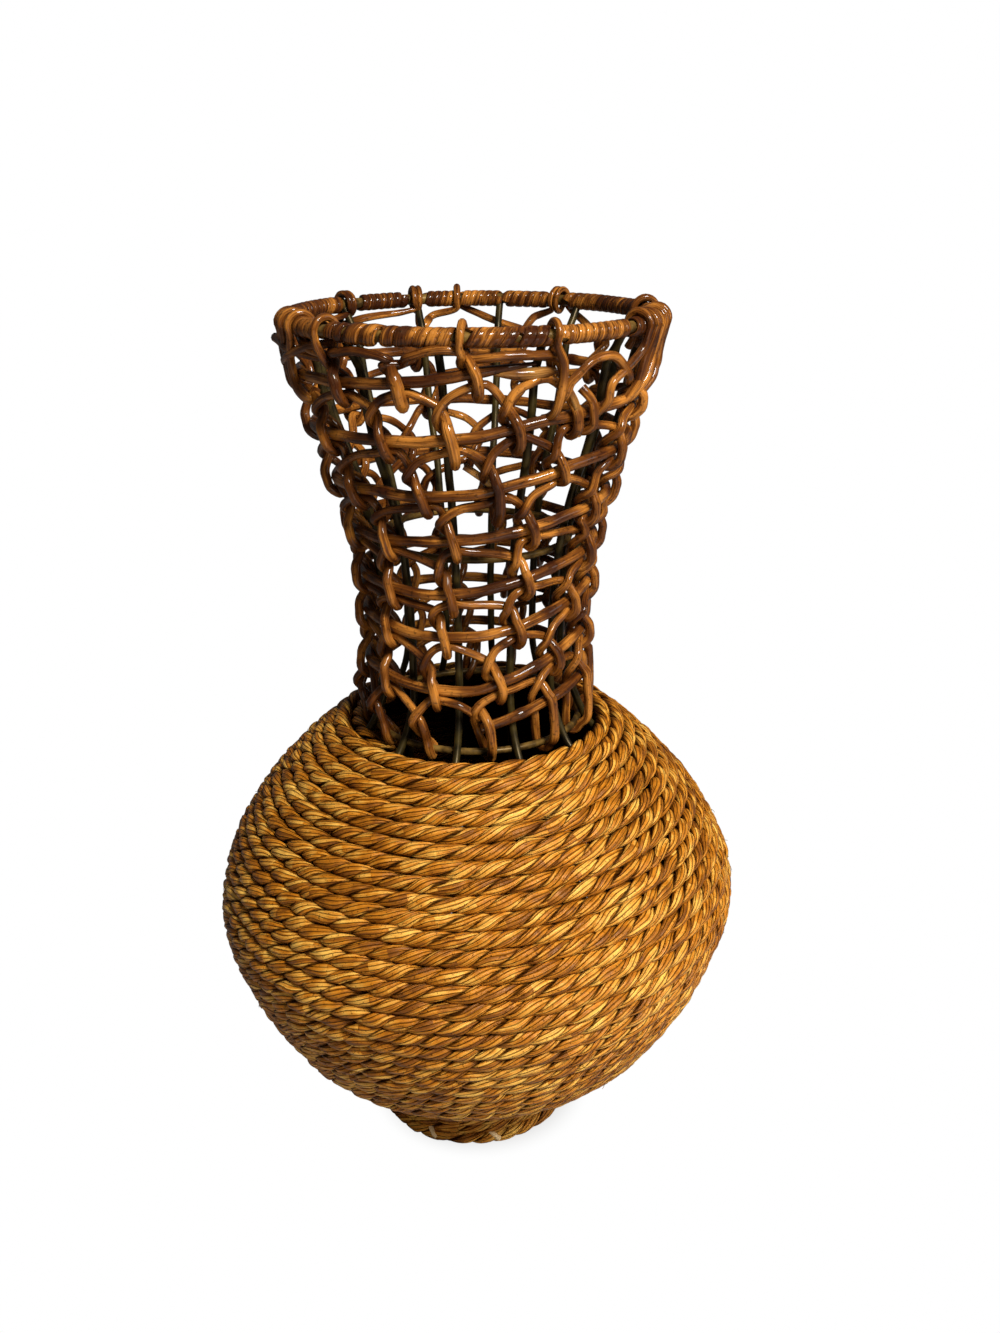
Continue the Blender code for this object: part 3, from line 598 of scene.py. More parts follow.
def wound_tree(name):
    """Flat or oval strands wound round a line: the plies of a rope, or a binding round a rod."""
    tree, size = new_tree(name, {
        "Reach": 0.00175, "Half Width": 0.0033, "Half Depth": 0.0022, "Sides": 10, "Step": 0.0017,
        "Wander": 0.0006, "Twist Unevenness": 0.8, "Unevenness": 0.3, "Relief": 0.0, "Bundles": 3.0,
        "Back Twist": 170.0, "Lowest": -1.0, "Seed": 0.0})
    add = partial(add_node, tree)
    line = add("GeometryNodeMeshToCurve", {"Mesh": size["Line"]})
    line = add("GeometryNodeResampleCurve", {"Curve": line, "Length": size["Step"]}, mode="LENGTH")
    line = add("GeometryNodeSetCurveNormal", {"Curve": line}, mode="Z_UP")
    spot = add("GeometryNodeInputPosition")
    phase, run, width = [
        add("GeometryNodeInputNamedAttribute", {"Name": label}) for label in ("phase", "run", "width")]
    # The strand's way out from the line turns with its phase, unevenly over about 26 mm
    slip = add("ShaderNodeTexNoise", {
        "Vector": spot, "W": size["Seed"], "Scale": 38.0, "Detail": 1.0}, noise_dimensions="4D")
    turn = add("ShaderNodeMath", (slip, 0.5), operation="SUBTRACT")
    turn = add("ShaderNodeMath", (turn, size["Twist Unevenness"], phase), operation="MULTIPLY_ADD")
    normal = add("GeometryNodeInputNormal")
    tangent = add("GeometryNodeInputTangent")
    beside = add("ShaderNodeVectorMath", (tangent, normal), operation="CROSS_PRODUCT")
    cosine = add("ShaderNodeMath", (turn,), operation="COSINE")
    sine = add("ShaderNodeMath", (turn,), operation="SINE")
    part_a = add("ShaderNodeVectorMath", {0: normal, "Scale": cosine}, operation="SCALE")
    part_b = add("ShaderNodeVectorMath", {0: beside, "Scale": sine}, operation="SCALE")
    way = add("ShaderNodeVectorMath", (part_a, part_b), operation="ADD")
    line = add("GeometryNodeStoreNamedAttribute", {
        "Geometry": line, "Name": "way", "Value": way}, data_type="FLOAT_VECTOR")
    way = add("GeometryNodeInputNamedAttribute", {"Name": "way"}, data_type="FLOAT_VECTOR")
    reach = add("ShaderNodeVectorMath", {0: way, "Scale": size["Reach"]}, operation="SCALE")
    wander = add("ShaderNodeVectorMath", (slip.outputs["Color"], (0.5, 0.5, 0.5)), operation="SUBTRACT")
    wander = add("ShaderNodeVectorMath", {0: wander, "Scale": size["Wander"]}, operation="SCALE")
    shift = add("ShaderNodeVectorMath", (reach, wander), operation="ADD")
    line = add("GeometryNodeSetPosition", {"Geometry": line, "Offset": shift})
    line = add("GeometryNodeSetCurveNormal", {"Curve": line, "Normal": way}, mode="FREE")
    # Thickness: lumps of about 11 mm
    lump = add("ShaderNodeTexNoise", {
        "Vector": spot, "W": size["Seed"], "Scale": 95.0, "Detail": 1.0}, noise_dimensions="4D")
    lump = add("ShaderNodeMath", (lump, 0.5), operation="SUBTRACT")
    thick = add("ShaderNodeMath", (lump, size["Unevenness"], 1.0), operation="MULTIPLY_ADD")
    thick = add("ShaderNodeMath", (thick, width), operation="MULTIPLY")
    oval = add("ShaderNodeCombineXYZ", (size["Half Depth"], size["Half Width"], 1.0))
    ring = add("GeometryNodeTransform", {"Geometry": unit_ring(add, size), "Scale": oval})
    skin, section = skin_line(add, line, ring, thick)
    # Grain runs along the strand, and its fibres' folds stand out and turn back round it
    section = add("ShaderNodeSeparateXYZ", (section,)).outputs
    grain = add("ShaderNodeCombineXYZ", (section[0], section[1], run))
    skin = add("GeometryNodeStoreNamedAttribute", {
        "Geometry": skin, "Name": "grain", "Value": grain}, data_type="FLOAT_VECTOR")
    round_it = add("ShaderNodeMath", (section[1], section[0]), operation="ARCTAN2")
    back = add("ShaderNodeMath", (run, size["Back Twist"]), operation="MULTIPLY")
    back = add("ShaderNodeMath", (round_it, back), operation="SUBTRACT")
    strip = add("ShaderNodeMath", (back, size["Bundles"]), operation="MULTIPLY")
    strip = add("ShaderNodeMath", (strip,), operation="COSINE")
    strip = add("ShaderNodeMath", (strip, size["Relief"]), operation="MULTIPLY")
    lift = add("ShaderNodeVectorMath", {
        0: add("GeometryNodeInputNormal"), "Scale": strip}, operation="SCALE")
    skin = add("GeometryNodeSetPosition", {"Geometry": skin, "Offset": lift})
    # What lies on the floor is pressed flat
    pressed = add("ShaderNodeSeparateXYZ", (spot,)).outputs
    level = add("ShaderNodeMath", (pressed[2], size["Lowest"]), operation="MAXIMUM")
    pressed = add("ShaderNodeCombineXYZ", (pressed[0], pressed[1], level))
    skin = add("GeometryNodeSetPosition", {"Geometry": skin, "Position": pressed})
    end_tree(add, size, skin)
    return tree


def line_object(chains):
    """Loose chains of points as one mesh; a chain is its points and values for each point."""
    points = np.vstack([chain[0] for chain in chains])
    edges = []
    first = 0
    for chain in chains:
        count = len(chain[0])
        edges += [(first + i, first + i + 1) for i in range(count - 1)]
        first += count
    mesh = bpy.data.meshes.new("line")
    mesh.from_pydata(points.tolist(), edges, [])
    for name, usual in (("width", 1.0), ("phase", 0.0), ("run", 0.0), ("stain", 0.0)):
        values = np.concatenate([
            np.broadcast_to(chain[1].get(name, usual), len(chain[0])) for chain in chains])
        attribute = mesh.attributes.new(name, "FLOAT", "POINT")
        attribute.data.foreach_set("value", values.astype(np.float32))
    holder = bpy.data.objects.new("line", mesh)
    bpy.context.scene.collection.objects.link(holder)
    return holder


def grow(name, tree, chains, values):
    """Run a geometry tree on a line and keep the result as a plain mesh piece."""
    holder = line_object(chains)
    modifier = holder.modifiers.new("grow", "NODES")
    modifier.node_group = tree
    for item in tree.interface.items_tree:
        if item.in_out == "INPUT" and item.name in values:
            modifier[item.identifier] = values[item.name]
    graph = bpy.context.evaluated_depsgraph_get()
    mesh = bpy.data.meshes.new_from_object(holder.evaluated_get(graph))
    bpy.data.objects.remove(holder, do_unlink=True)
    mesh.name = name
    piece = bpy.data.objects.new(name, mesh)
    bpy.context.scene.collection.objects.link(piece)
    return piece


def finish_piece(piece, slot, *nodes):
    """Fix a piece to the vase, in place of its nodes."""
    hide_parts(*nodes)
    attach(piece, "root")


# Materials


def new_material(name, **values):
    """Material with a Principled shader; values go straight to its own sockets."""
    material = bpy.data.materials.new(name)
    material.use_nodes = True
    shader = material.node_tree.nodes["Principled BSDF"]
    for label, value in values.items():
        shader.inputs[label.replace("_", " ")].default_value = value
    return material, material.node_tree, shader


def fill_ramp(ramp, low, high, *between):
    """Set a colour ramp's two ends, then add the stops between them; each is a position and a colour."""
    stops = ramp.color_ramp.elements
    for stop, (position, shade) in zip(stops, (low, high)):
        stop.position = position
        stop.color = (*shade, 1.0)
    for position, shade in between:
        stops.new(position).color = (*shade, 1.0)


def rope_material(name):
    """Twisted water hyacinth: folded dry stalks, half glossy, with painted shade in the seams between
    strips, in the creases between plies and on the inside of the vase.
    """
    settings = bpy.context.scene.vase_rope
    material, tree, shader = new_material(
        name, Roughness=0.42, IOR=1.45, Specular_Tint=(*linear("#FFEAC8"), 1.0))
    add = partial(add_node, tree)
    grain = add("ShaderNodeAttribute", attribute_name="grain").outputs["Vector"]
    where = add("ShaderNodeTexCoord").outputs["Object"]
    deep, side, run = add("ShaderNodeSeparateXYZ", (grain,)).outputs
    # A ply is folded into nine strips of about 2 mm that turn back round it
    strips = 9.0
    slide = add("ShaderNodeMath", (run, 38.0), operation="MULTIPLY")
    slide = add("ShaderNodeTexNoise", {"W": slide, "Scale": 1.0, "Detail": 1.0}, noise_dimensions="1D")
    turned = add("ShaderNodeMath", (side, deep), operation="ARCTAN2")
    across = add("ShaderNodeMath", (
        run, -2.0 * math.pi * settings.back_twist / settings.lay, turned), operation="MULTIPLY_ADD")
    across = add("ShaderNodeMath", (across, strips / (2.0 * math.pi)), operation="MULTIPLY")
    across = add("ShaderNodeMath", (slide, 2.4, across), operation="MULTIPLY_ADD")
    fold = add("ShaderNodeMath", (across, 0.5), operation="PINGPONG")
    seam = add("ShaderNodeMapRange", (fold, 0.0, 0.20), interpolation_type="SMOOTHSTEP")
    # Each strip has its own tone, a new one every 31 mm
    number = add("ShaderNodeMath", (across, strips), operation="FLOORED_MODULO")
    number = add("ShaderNodeMath", (number,), operation="FLOOR")
    length = add("ShaderNodeMath", (run, 32.0), operation="MULTIPLY")
    length = add("ShaderNodeMath", (length,), operation="FLOOR")
    strip = add("ShaderNodeTexWhiteNoise", {
        "Vector": add("ShaderNodeCombineXYZ", (number, length))})
    # Stalk fibres of about 0.8 mm, drawn 16 mm long
    fine = add("ShaderNodeCombineXYZ", (
        add("ShaderNodeMath", (across, 2.6), operation="MULTIPLY"),
        add("ShaderNodeMath", (run, 60.0), operation="MULTIPLY")))
    fine = add("ShaderNodeTexNoise", {"Vector": fine, "Scale": 1.0, "Detail": 3.0, "Roughness": 0.65})
    # Whole plies differ over about 9 mm and whole turns over 60 mm
    ply = add("ShaderNodeTexNoise", {"Vector": where, "Scale": 110.0, "Detail": 2.0})
    row = add("ShaderNodeTexNoise", {"Vector": where, "Scale": 17.0, "Detail": 2.0})
    tone = add("ShaderNodeMath", (fine, 1.3, -0.15), operation="MULTIPLY_ADD")
    for part, share in ((strip, 0.50), (ply, 1.0), (row, 0.6)):
        tone = add("ShaderNodeMath", (part, share, tone), operation="MULTIPLY_ADD")
    tone = add("ShaderNodeMapRange", (tone, 1.20, 2.02))
    ramp = add("ShaderNodeValToRGB", (tone,))
    fill_ramp(ramp, (0.0, settings.dark), (1.0, settings.light), (0.42, settings.middle))
    # Painted shade: darker in the seams between strips, on the ply's inner side, which lies in the crease
    # between plies, and on the inside of the vase
    inner = add("ShaderNodeMapRange", (deep, -0.36, 0.18, 0.10, 1.0), interpolation_type="SMOOTHSTEP")
    line = add("ShaderNodeMapRange", (seam, 0.0, 1.0, 0.30, 1.0))
    surface = add("ShaderNodeNewGeometry").outputs["Normal"]
    outward = add("ShaderNodeVectorMath", (where, (1.0, 1.0, 0.0)), operation="MULTIPLY")
    outward = add("ShaderNodeVectorMath", (outward,), operation="NORMALIZE")
    facing = add("ShaderNodeVectorMath", (outward, surface), operation="DOT_PRODUCT")
    inside = add("ShaderNodeMapRange", (facing, -0.55, 0.05, 0.04, 1.0))
    # Brown specks of about 1 mm and bruised spots of about 4 mm
    speck = add("ShaderNodeTexNoise", {"Vector": where, "Scale": 900.0, "Detail": 1.0})
    speck = add("ShaderNodeMapRange", (speck, 0.29, 0.35, 0.35, 1.0))
    bruise = add("ShaderNodeTexNoise", {"Vector": where, "Scale": 230.0, "Detail": 3.0, "Roughness": 0.7})
    bruise = add("ShaderNodeMapRange", (bruise, 0.28, 0.36, 0.45, 1.0))
    # shade: the painted shade of seams, creases and the inside, times the real brown specks and bruises
    shade = inner
    for part in (line, inside, speck, bruise):
        shade = add("ShaderNodeMath", (shade, part), operation="MULTIPLY")
    # Inputs 6 and 7 of a mix node are its two colours
    tint = add("ShaderNodeMix", {0: shade, 6: (*settings.crease_shade, 1.0), 7: ramp}, data_type="RGBA")
    # The painted shade also takes the gloss out of the seams, the creases and the inside
    shine = add("ShaderNodeMath", (shade, 0.5), operation="MULTIPLY")
    relief = add("ShaderNodeMath", (seam, 0.8, fine), operation="MULTIPLY_ADD")
    bump = add("ShaderNodeBump", {"Height": relief, "Strength": 1.0, "Distance": 0.0007})
    fill_inputs(tree, shader, {"Base Color": tint, "Specular IOR Level": shine, "Normal": bump})
    return material


def cane_material(name, light, middle, dark, seed, streaks, contrast):
    """Round rattan, stained and varnished: fine length streaks under a glossy coat, dark at the joints."""
    material, tree, shader = new_material(
        name, IOR=1.45, Specular_IOR_Level=0.15, Specular_Tint=(*linear("#FFDDA0"), 1.0),
        Coat_Weight=0.35, Coat_Roughness=0.045, Coat_IOR=1.5)
    add = partial(add_node, tree)
    grain = add("ShaderNodeAttribute", attribute_name="grain").outputs["Vector"]
    joint = add("ShaderNodeAttribute", attribute_name="joint").outputs["Fac"]
    stained = add("ShaderNodeAttribute", attribute_name="stain").outputs["Fac"]
    where = add("ShaderNodeTexCoord").outputs["Object"]
    # Pores of rattan are about 0.3 mm wide, drawn 0.5 mm so that they show
    fine = add("ShaderNodeVectorMath", (grain, (streaks, streaks, 45.0)), operation="MULTIPLY")
    fine = add("ShaderNodeTexNoise", {"Vector": fine, "Scale": 1.0, "Detail": 3.0, "Roughness": 0.6})
    broad = add("ShaderNodeVectorMath", (
        grain, (0.25 * streaks, 0.25 * streaks, 55.0)), operation="MULTIPLY")
    broad = add("ShaderNodeTexNoise", {
        "Vector": broad, "W": seed, "Scale": 1.0, "Detail": 2.0}, noise_dimensions="4D")
    # Stain lies in clouds of about 20 mm, and is thick at the joints
    stain = add("ShaderNodeTexNoise", {
        "Vector": where, "W": seed, "Scale": 48.0, "Detail": 2.0}, noise_dimensions="4D")
    tone = add("ShaderNodeMath", (fine, 0.8, broad), operation="MULTIPLY_ADD")
    tone = add("ShaderNodeMath", (stain, 1.6, tone), operation="MULTIPLY_ADD")
    # The narrower the range, the farther apart are the tones
    tone = add("ShaderNodeMapRange", (tone, 1.70 - 0.38 / contrast, 1.72 + 0.38 / contrast))
    tone = add("ShaderNodeMath", (joint, -0.5, tone), operation="MULTIPLY_ADD")
    tone = add("ShaderNodeMath", (tone, stained), operation="SUBTRACT")
    ramp = add("ShaderNodeValToRGB", (tone,))
    fill_ramp(ramp, (0.0, dark), (1.0, light), (0.5, middle))
    # Drops of thick stain, under 2 mm across
    spot = add("ShaderNodeTexNoise", {"Vector": where, "Scale": 620.0, "Detail": 1.0})
    spot = add("ShaderNodeMapRange", (spot, 0.30, 0.38, 0.45, 1.0))
    tint = add("ShaderNodeMix", {0: 1.0, 6: ramp, 7: spot}, data_type="RGBA", blend_type="MULTIPLY")
    # Varnish has sunk into the pores, so the gloss is broken lengthways
    gloss = add("ShaderNodeMapRange", (fine, 0.35, 0.65, 0.60, 0.22))
    relief = add("ShaderNodeMath", (broad, 1.5, fine), operation="MULTIPLY_ADD")
    bump = add("ShaderNodeBump", {"Height": relief, "Strength": 1.0, "Distance": 0.0006})
    fill_inputs(tree, shader, {"Base Color": tint, "Roughness": gloss, "Normal": bump})
    return material


def iron_material(name, dark, rust):
    """Drawn iron wire: a dull black skin with rusty patches of 5 to 10 mm that break its shine."""
    material, tree, shader = new_material(
        name, Roughness=0.36, Specular_IOR_Level=0.4, Specular_Tint=(*linear("#E8CC9C"), 1.0))
    add = partial(add_node, tree)
    where = add("ShaderNodeTexCoord").outputs["Object"]
    spots = add("ShaderNodeTexNoise", {"Vector": where, "Scale": 120.0, "Detail": 4.0})
    ramp = add("ShaderNodeValToRGB", (spots,))
    fill_ramp(ramp, (0.40, dark), (0.62, rust))
    bump = add("ShaderNodeBump", {"Height": spots, "Strength": 0.3, "Distance": 0.0003})
    fill_inputs(tree, shader, {"Base Color": ramp, "Normal": bump})
    return material


def board_material(name):
    """Bare plywood: pale brown, with long grain across the board and dull open pores."""
    material, tree, shader = new_material(name, Roughness=0.78)
    add = partial(add_node, tree)
    where = add("ShaderNodeTexCoord").outputs["Object"]
    # Growth rings on a peeled face are 3 to 8 mm apart
    stretch = add("ShaderNodeVectorMath", (where, (25.0, 260.0, 260.0)), operation="MULTIPLY")
    grain = add("ShaderNodeTexNoise", {"Vector": stretch, "Scale": 1.0, "Detail": 4.0, "Distortion": 0.6})
    ramp = add("ShaderNodeValToRGB", (grain,))
    fill_ramp(ramp, (0.35, linear("#8A6239")), (0.65, linear("#BE9463")))
    bump = add("ShaderNodeBump", {"Height": grain, "Strength": 0.25, "Distance": 0.0003})
    fill_inputs(tree, shader, {"Base Color": ramp, "Normal": bump})
    return material


# Lines of the canes


def cane_sizes():
    """From the core cane's middle to the looping cane's where they touch, and the latter's radius."""
    cane = bpy.context.scene.vase_cane
    return cane.core_radius + cane.loop_radius, cane.loop_radius


def widened(points, widths):
    """Points with a width each."""
    return [np.append(point, width) for point, width in zip(points, widths)]


def stitch_points(number):
    """A stitch of the looping cane: down in front of its ring and round behind it."""
    step, thick = cane_sizes()
    # Across to the right, up the neck, and out from the core cane's middle
    spots = (
        (-0.0046, 0.0115, -0.6 * thick),
        (-0.0014, 0.0050, 0.85 * step),
        (0.0000, 0.0006, 1.05 * step),
        (0.0008, -0.0045, 1.0 * step),
        (0.0002, -(step + 2.2 * thick), 0.2 * thick),
        (-0.0014, -0.0045, -0.9 * step),
        (-0.0036, 0.0005, -1.0 * step),
        (-0.0062, 0.0055, -0.4 * step),
        (-0.0056, 0.0110, 1.3 * thick),
    )
    above, below, width = STITCH_SHAPES.get(number, USUAL_STITCH)
    points = [
        core_point(STITCHES[number], across, up * (above if up > 0.0 else below), out)
        for across, up, out in spots
    ]
    return widened(points, (1.0, width, width, width, 0.5 * (1.0 + width), 1.0, 1.0, 1.0, 1.0))


def arch_points(number):
    """From a stitch up to the stitch above, through it, and on towards the next stitch."""
    step, thick = cane_sizes()
    upper = STITCHES[number + STITCHES_PER_TURN]
    start = core_point(STITCHES[number], -0.0056, 0.0110, 1.3 * thick)
    near = core_point(upper, -0.0042, -1.15 * step, 0.5 * thick)
    # The crown of the arch lies nearer the lower stitch and rises early
    middle = 0.62 * start + 0.38 * near
    middle[2] += 0.25 * (near[2] - start[2])
    return [
        middle,
        near,
        core_point(upper, 0.0006, -1.02 * step, 0.0),
        core_point(upper, 0.0050, -1.25 * step, -0.2 * thick),
    ]


def rim_wrap_points(angle, turns):
    """Round the rim and its binding: up outside, over, down inside, as often as asked."""
    # Eight points a turn, and a turn goes on by two degrees; canes are drawn thinner here
    wide = 0.86 if turns == 1 else 0.74
    step = 45.0
    thick = bpy.context.scene.vase_cane.loop_radius * wide
    rim = bpy.context.scene.vase_rim
    hug = rim.rod_radius + 2.0 * rim.strip_half_depth + 0.8 * thick
    points = []
    for k in range(8 * turns - 1):
        way = math.radians(-35.0 + step * k)
        along = angle + 2.0 * (k - 3.0 - 4.0 * (turns - 1)) / 8.0
        spot = place(RIM_RADIUS + hug * math.cos(way), along, RIM_HEIGHT + hug * math.sin(way))
        points.append(np.append(spot, wide))
    return points


def path_points(path):
    """Points of a cane; a spot is angle, height and way out in mm, or angle and turns round the rim."""
    points = []
    for spot in path:
        if len(spot) == 2:
            points += rim_wrap_points(*spot)
        else:
            points.append(neck_point(spot[0], spot[1] * MM, spot[2] * MM))
    return points


# From a top stitch at the back: angle at which the cane goes over the rim, and its turns there
BACK_PASSES = {
    74: (103.0, 1), 75: (148.0, 2), 76: (185.5, 1), 77: (200.5, 2), 78: (229.0, 2), 79: (289.0, 1),
}

# From a top stitch in front to the next one
FRONT_PATHS = {
    72: ((28.5, 405.0, 2.8), (31.4, 408.6, 3.0), (36.5, 413.9, 2.8), (43.1, 414.6, 2.8), (48.3, 410.4, 3.2),
         (52.5, 404.5, 3.6)),
    73: ((60.0, 411.0, 4.2), (62.5, 1), (67.0, 415.5, -1.5), (75.0, 416.5, 1.5), (86.0, 415.0, 2.2)),
    80: ((-47.4, 418.6, 4.6), (-46.6, 1), (-46.0, 415.6, 0.0), (-42.0, 416.4, 2.6), (-34.5, 418.3, 3.2),
         (-27.0, 417.0, 3.0), (-24.2, 415.4, 2.2)),
    81: ((-21.0, 412.8, -1.5), (-18.2, 416.8, 2.4), (-11.3, 419.9, 3.2), (-6.5, 420.0, 2.6),
         (-2.4, 418.0, 0.4)),
    82: ((-3.2, 419.0, 4.6), (-2.8, 1), (-0.8, 416.0, 0.2), (4.0, 417.0, 2.6), (10.1, 417.4, 3.0),
         (17.0, 417.3, 2.8), (22.2, 416.6, 1.4), (26.0, 413.0, -1.2), (28.5, 408.0, -3.2)),
}

# Short lengths at the rim, both ends hidden or cut: the fans at both corners and the front tie
RIM_LENGTHS = (
    ((23.4, 388.5, -3.4), (24.1, 391.0, 0.6), (24.7, 396.0, 4.4), (25.3, 407.0, 5.2),
     (24.7, 415.0, 5.6), (23.4, 1), (24.2, 414.0, -4.4), (25.5, 406.0, -4.8)),
    ((42.3, 386.0, -3.4), (43.0, 390.5, 0.5), (43.9, 396.0, 3.6), (44.8, 403.4, 3.4), (51.8, 409.4, 3.6),
     (57.0, 416.0, 4.4), (58.0, 1), (59.5, 414.0, -4.0)),
    ((56.0, 390.0, -3.6), (57.0, 393.0, 0.6), (59.5, 399.0, 3.0), (62.2, 405.2, 3.8),
     (63.6, 413.5, 4.2), (64.0, 1), (65.5, 414.0, -4.0)),
    ((58.5, 390.5, -3.6), (60.5, 394.0, 1.2), (66.0, 401.5, 3.8), (69.8, 410.5, 3.4), (70.4, 1),
     (71.0, 413.0, -4.4)),
    ((66.5, 391.0, -3.6), (68.5, 393.5, 1.0), (73.9, 400.0, 4.2), (76.2, 407.0, 4.0),
     (75.6, 416.0, 4.0), (74.6, 1), (75.0, 413.0, -4.6)),
    ((75.0, 395.5, -3.4), (77.0, 399.0, 1.6), (80.4, 405.0, 4.4), (81.6, 411.0, 4.2), (80.6, 1),
     (81.0, 413.0, -4.6)),
    ((-68.6, 395.5, -3.6), (-68.0, 392.0, 0.2), (-68.8, 396.5, 3.8), (-69.7, 404.0, 4.5),
     (-68.5, 410.0, 4.6), (-64.0, 417.0, 5.0), (-61.5, 1), (-62.0, 413.0, -4.2)),
    ((-71.0, 394.0, -3.4), (-70.4, 390.5, 0.0), (-71.2, 395.5, 3.6), (-72.4, 403.0, 4.6),
     (-71.4, 411.0, 4.8), (-68.0, 1), (-69.0, 413.0, -4.4)),
    ((-74.0, 397.0, -3.0), (-74.6, 401.5, 3.6), (-76.0, 409.0, 5.0), (-73.2, 1), (-74.0, 412.0, -4.4)),
    ((-81.5, 417.6, 7.0), (-76.0, 416.6, 5.6), (-69.0, 415.2, 5.4), (-62.0, 414.0, 3.4),
     (-56.5, 412.5, 0.4), (-51.0, 411.0, -3.4)),
    ((-82.0, 405.6, 4.2), (-76.0, 408.4, 5.4), (-68.0, 412.0, 5.6), (-60.0, 415.4, 3.6),
     (-52.0, 418.0, 1.4), (-46.0, 418.6, -2.8)),
)

# Cane that runs on from a loop at the collar to the stitch at its right
COLLAR_LENGTH = (
    (-20.0, 258.2, 0.2), (-17.3, 257.8, 1.5), (-11.5, 257.3, 2.5), (-6.7, 255.6, 2.5), (-2.6, 252.8, 1.5),
    (1.0, 249.1, -1.5),
)

# Cut ends of bare cane: one in front at the right, a bundle inside the neck
BARE_ENDS = (
    ((28.6, 402.0, 3.2), (30.6, 396.6, 4.6), (32.2, 389.0, 4.4), (33.2, 383.4, 4.0)),
    ((-3.5, 368.5, -4.0), (2.0, 364.5, -2.6), (8.1, 359.6, -1.2), (10.5, 357.5, -0.6)),
    ((-0.2, 372.0, -5.0), (4.0, 366.0, -4.0), (8.8, 359.8, -2.8), (11.0, 357.0, -2.4)),
    ((4.2, 372.5, -5.5), (6.6, 366.0, -5.4), (9.4, 360.0, -4.6), (11.0, 356.5, -4.2)),
)


def rim_arch_points(number):
    """From a top stitch to the rim and back down towards the next stitch."""
    if number in FRONT_PATHS:
        return path_points(FRONT_PATHS[number])
    over, turns = BACK_PASSES[number]
    # The cane leaves and comes down a few degrees short of the two stitches, from 11 mm under the rim
    start = (STITCHES[number] - 4.0) % 360.0
    end = (STITCHES[number + 1] - 3.5) % 360.0
    rise = RIM_HEIGHT / MM - 11.0
    return path_points((
        (start + 0.45 * (over - start), rise, 3.0),
        (over, turns),
        (over + 0.45 * (end - over) + 2.0, rise + 3.8, 1.8),
        (over + 0.80 * (end - over), rise + 1.8, 1.0),
    ))


def collar_stitch_points(angle):
    """A stitch round the collar hoop alone."""
    step = bpy.context.scene.vase_frame.hoop_radius + cane_sizes()[1]
    # Degrees across, metres up and out from the hoop's middle
    spots = (
        (-3.5, 0.0165, 0.0058),
        (-1.0, 0.0060, 0.0040),
        (0.0, 0.0005, step),
        (0.2, -step, 0.3 * step),
        (-1.2, -0.2 * step, -step),
        (-4.5, 0.0045, -0.2 * step),
        (-6.5, 0.0110, 0.0042),
        (-5.5, 0.0170, 0.0085),
    )
    points = [
        place(COLLAR_HOOP_RADIUS + out, angle + across, COLLAR_HEIGHT + up) for across, up, out in spots
    ]
    return widened(points, (1.0, 1.2, 1.25, 1.1, 1.0, 1.0, 1.0, 1.1))


def long_stitch_points(number):
    """A stitch that passes in front of its ring and goes round the collar hoop below."""
    step, thick = cane_sizes()
    hug = bpy.context.scene.vase_frame.hoop_radius + thick
    angle = STITCHES[number]
    round_hoop = (
        (0.8, 0.0055, 0.0070), (1.2, 0.0, hug), (0.6, -hug, 0.2 * hug), (-1.2, -0.1 * hug, -hug))
    points = [
        core_point(angle, -0.0046, 0.0115, -0.6 * thick),
        core_point(angle, -0.0012, 0.0045, 0.85 * step),
        core_point(angle, 0.0, 0.0, 1.05 * step),
    ]
    points += [
        place(COLLAR_HOOP_RADIUS + out, angle + across, COLLAR_HEIGHT + up)
        for across, up, out in round_hoop
    ]
    points += [
        core_point(angle, -0.0042, -0.0045, -1.0 * step),
        core_point(angle, -0.0060, 0.0010, -0.9 * step),
        core_point(angle, -0.0072, 0.0060, -0.2 * step),
        core_point(angle, -0.0062, 0.0112, 1.3 * thick),
    ]
    return widened(points, (1.0, 1.15, 1.2, 1.15, 1.15, 1.15, 1.15, 1.0, 1.0, 1.0, 1.0))


def collar_row():
    """Control points of the loops that hang on the collar hoop alone."""
    step, thick = cane_sizes()
    points = []
    for number in COLLAR_STITCHES:
        upper = STITCHES[number]
        points += collar_stitch_points(upper - COLLAR_STITCH_LEAD)
        points += [
            core_point(upper, -0.0038, -1.3 * step, 0.4 * thick),
            core_point(upper, 0.0006, -1.05 * step, 0.0),
            core_point(upper, 0.0050, -1.35 * step, -0.2 * thick),
        ]
    return points


def looper_rows():
    """Control points of the looping cane, one list for each node that it stands for."""
    rows = [collar_row()]
    row_of = np.minimum((STITCHES + 180.0) // 360.0, len(STITCH_ANGLES) - 1)
    carry = []
    for row in range(len(STITCH_ANGLES)):
        points = carry
        for number in np.flatnonzero(row_of[:LAST_STITCH] == row):
            points += long_stitch_points(number) if number < LONG_STITCHES else stitch_points(number)
            if number + STITCHES_PER_TURN <= LAST_STITCH:
                points += arch_points(number)
            else:
                points += rim_arch_points(number)
        rows.append(points)
        carry = [points[-1]]
    return rows


def cane_chain(points):
    """Chain of points, each with its own width where it has one."""
    full = np.array([point if len(point) == 4 else np.append(point, 1.0) for point in points])
    return full[:, :3], {"width": full[:, 3]}


def short_lengths():
    """The short lengths at the rim, one stitch more on the ring under it, and the run at the collar."""
    step = cane_sizes()[0]
    # The added stitch is 38 degrees to the right, six turns up the core
    extra = 6 * 360.0 + 38.0
    spots = (
        (-0.0040, 0.0110, -0.2 * step), (-0.0010, 0.0060, 0.8 * step), (0.0, 0.0, 1.05 * step),
        (0.0008, -0.0050, 1.0 * step), (-0.0010, -0.0085, 0.0), (-0.0040, -0.0040, -1.0 * step),
    )
    paths = [path_points(path) for path in RIM_LENGTHS]
    paths += [[core_point(extra, *spot) for spot in spots], path_points(COLLAR_LENGTH)]
    return [cane_chain(points) for points in paths]


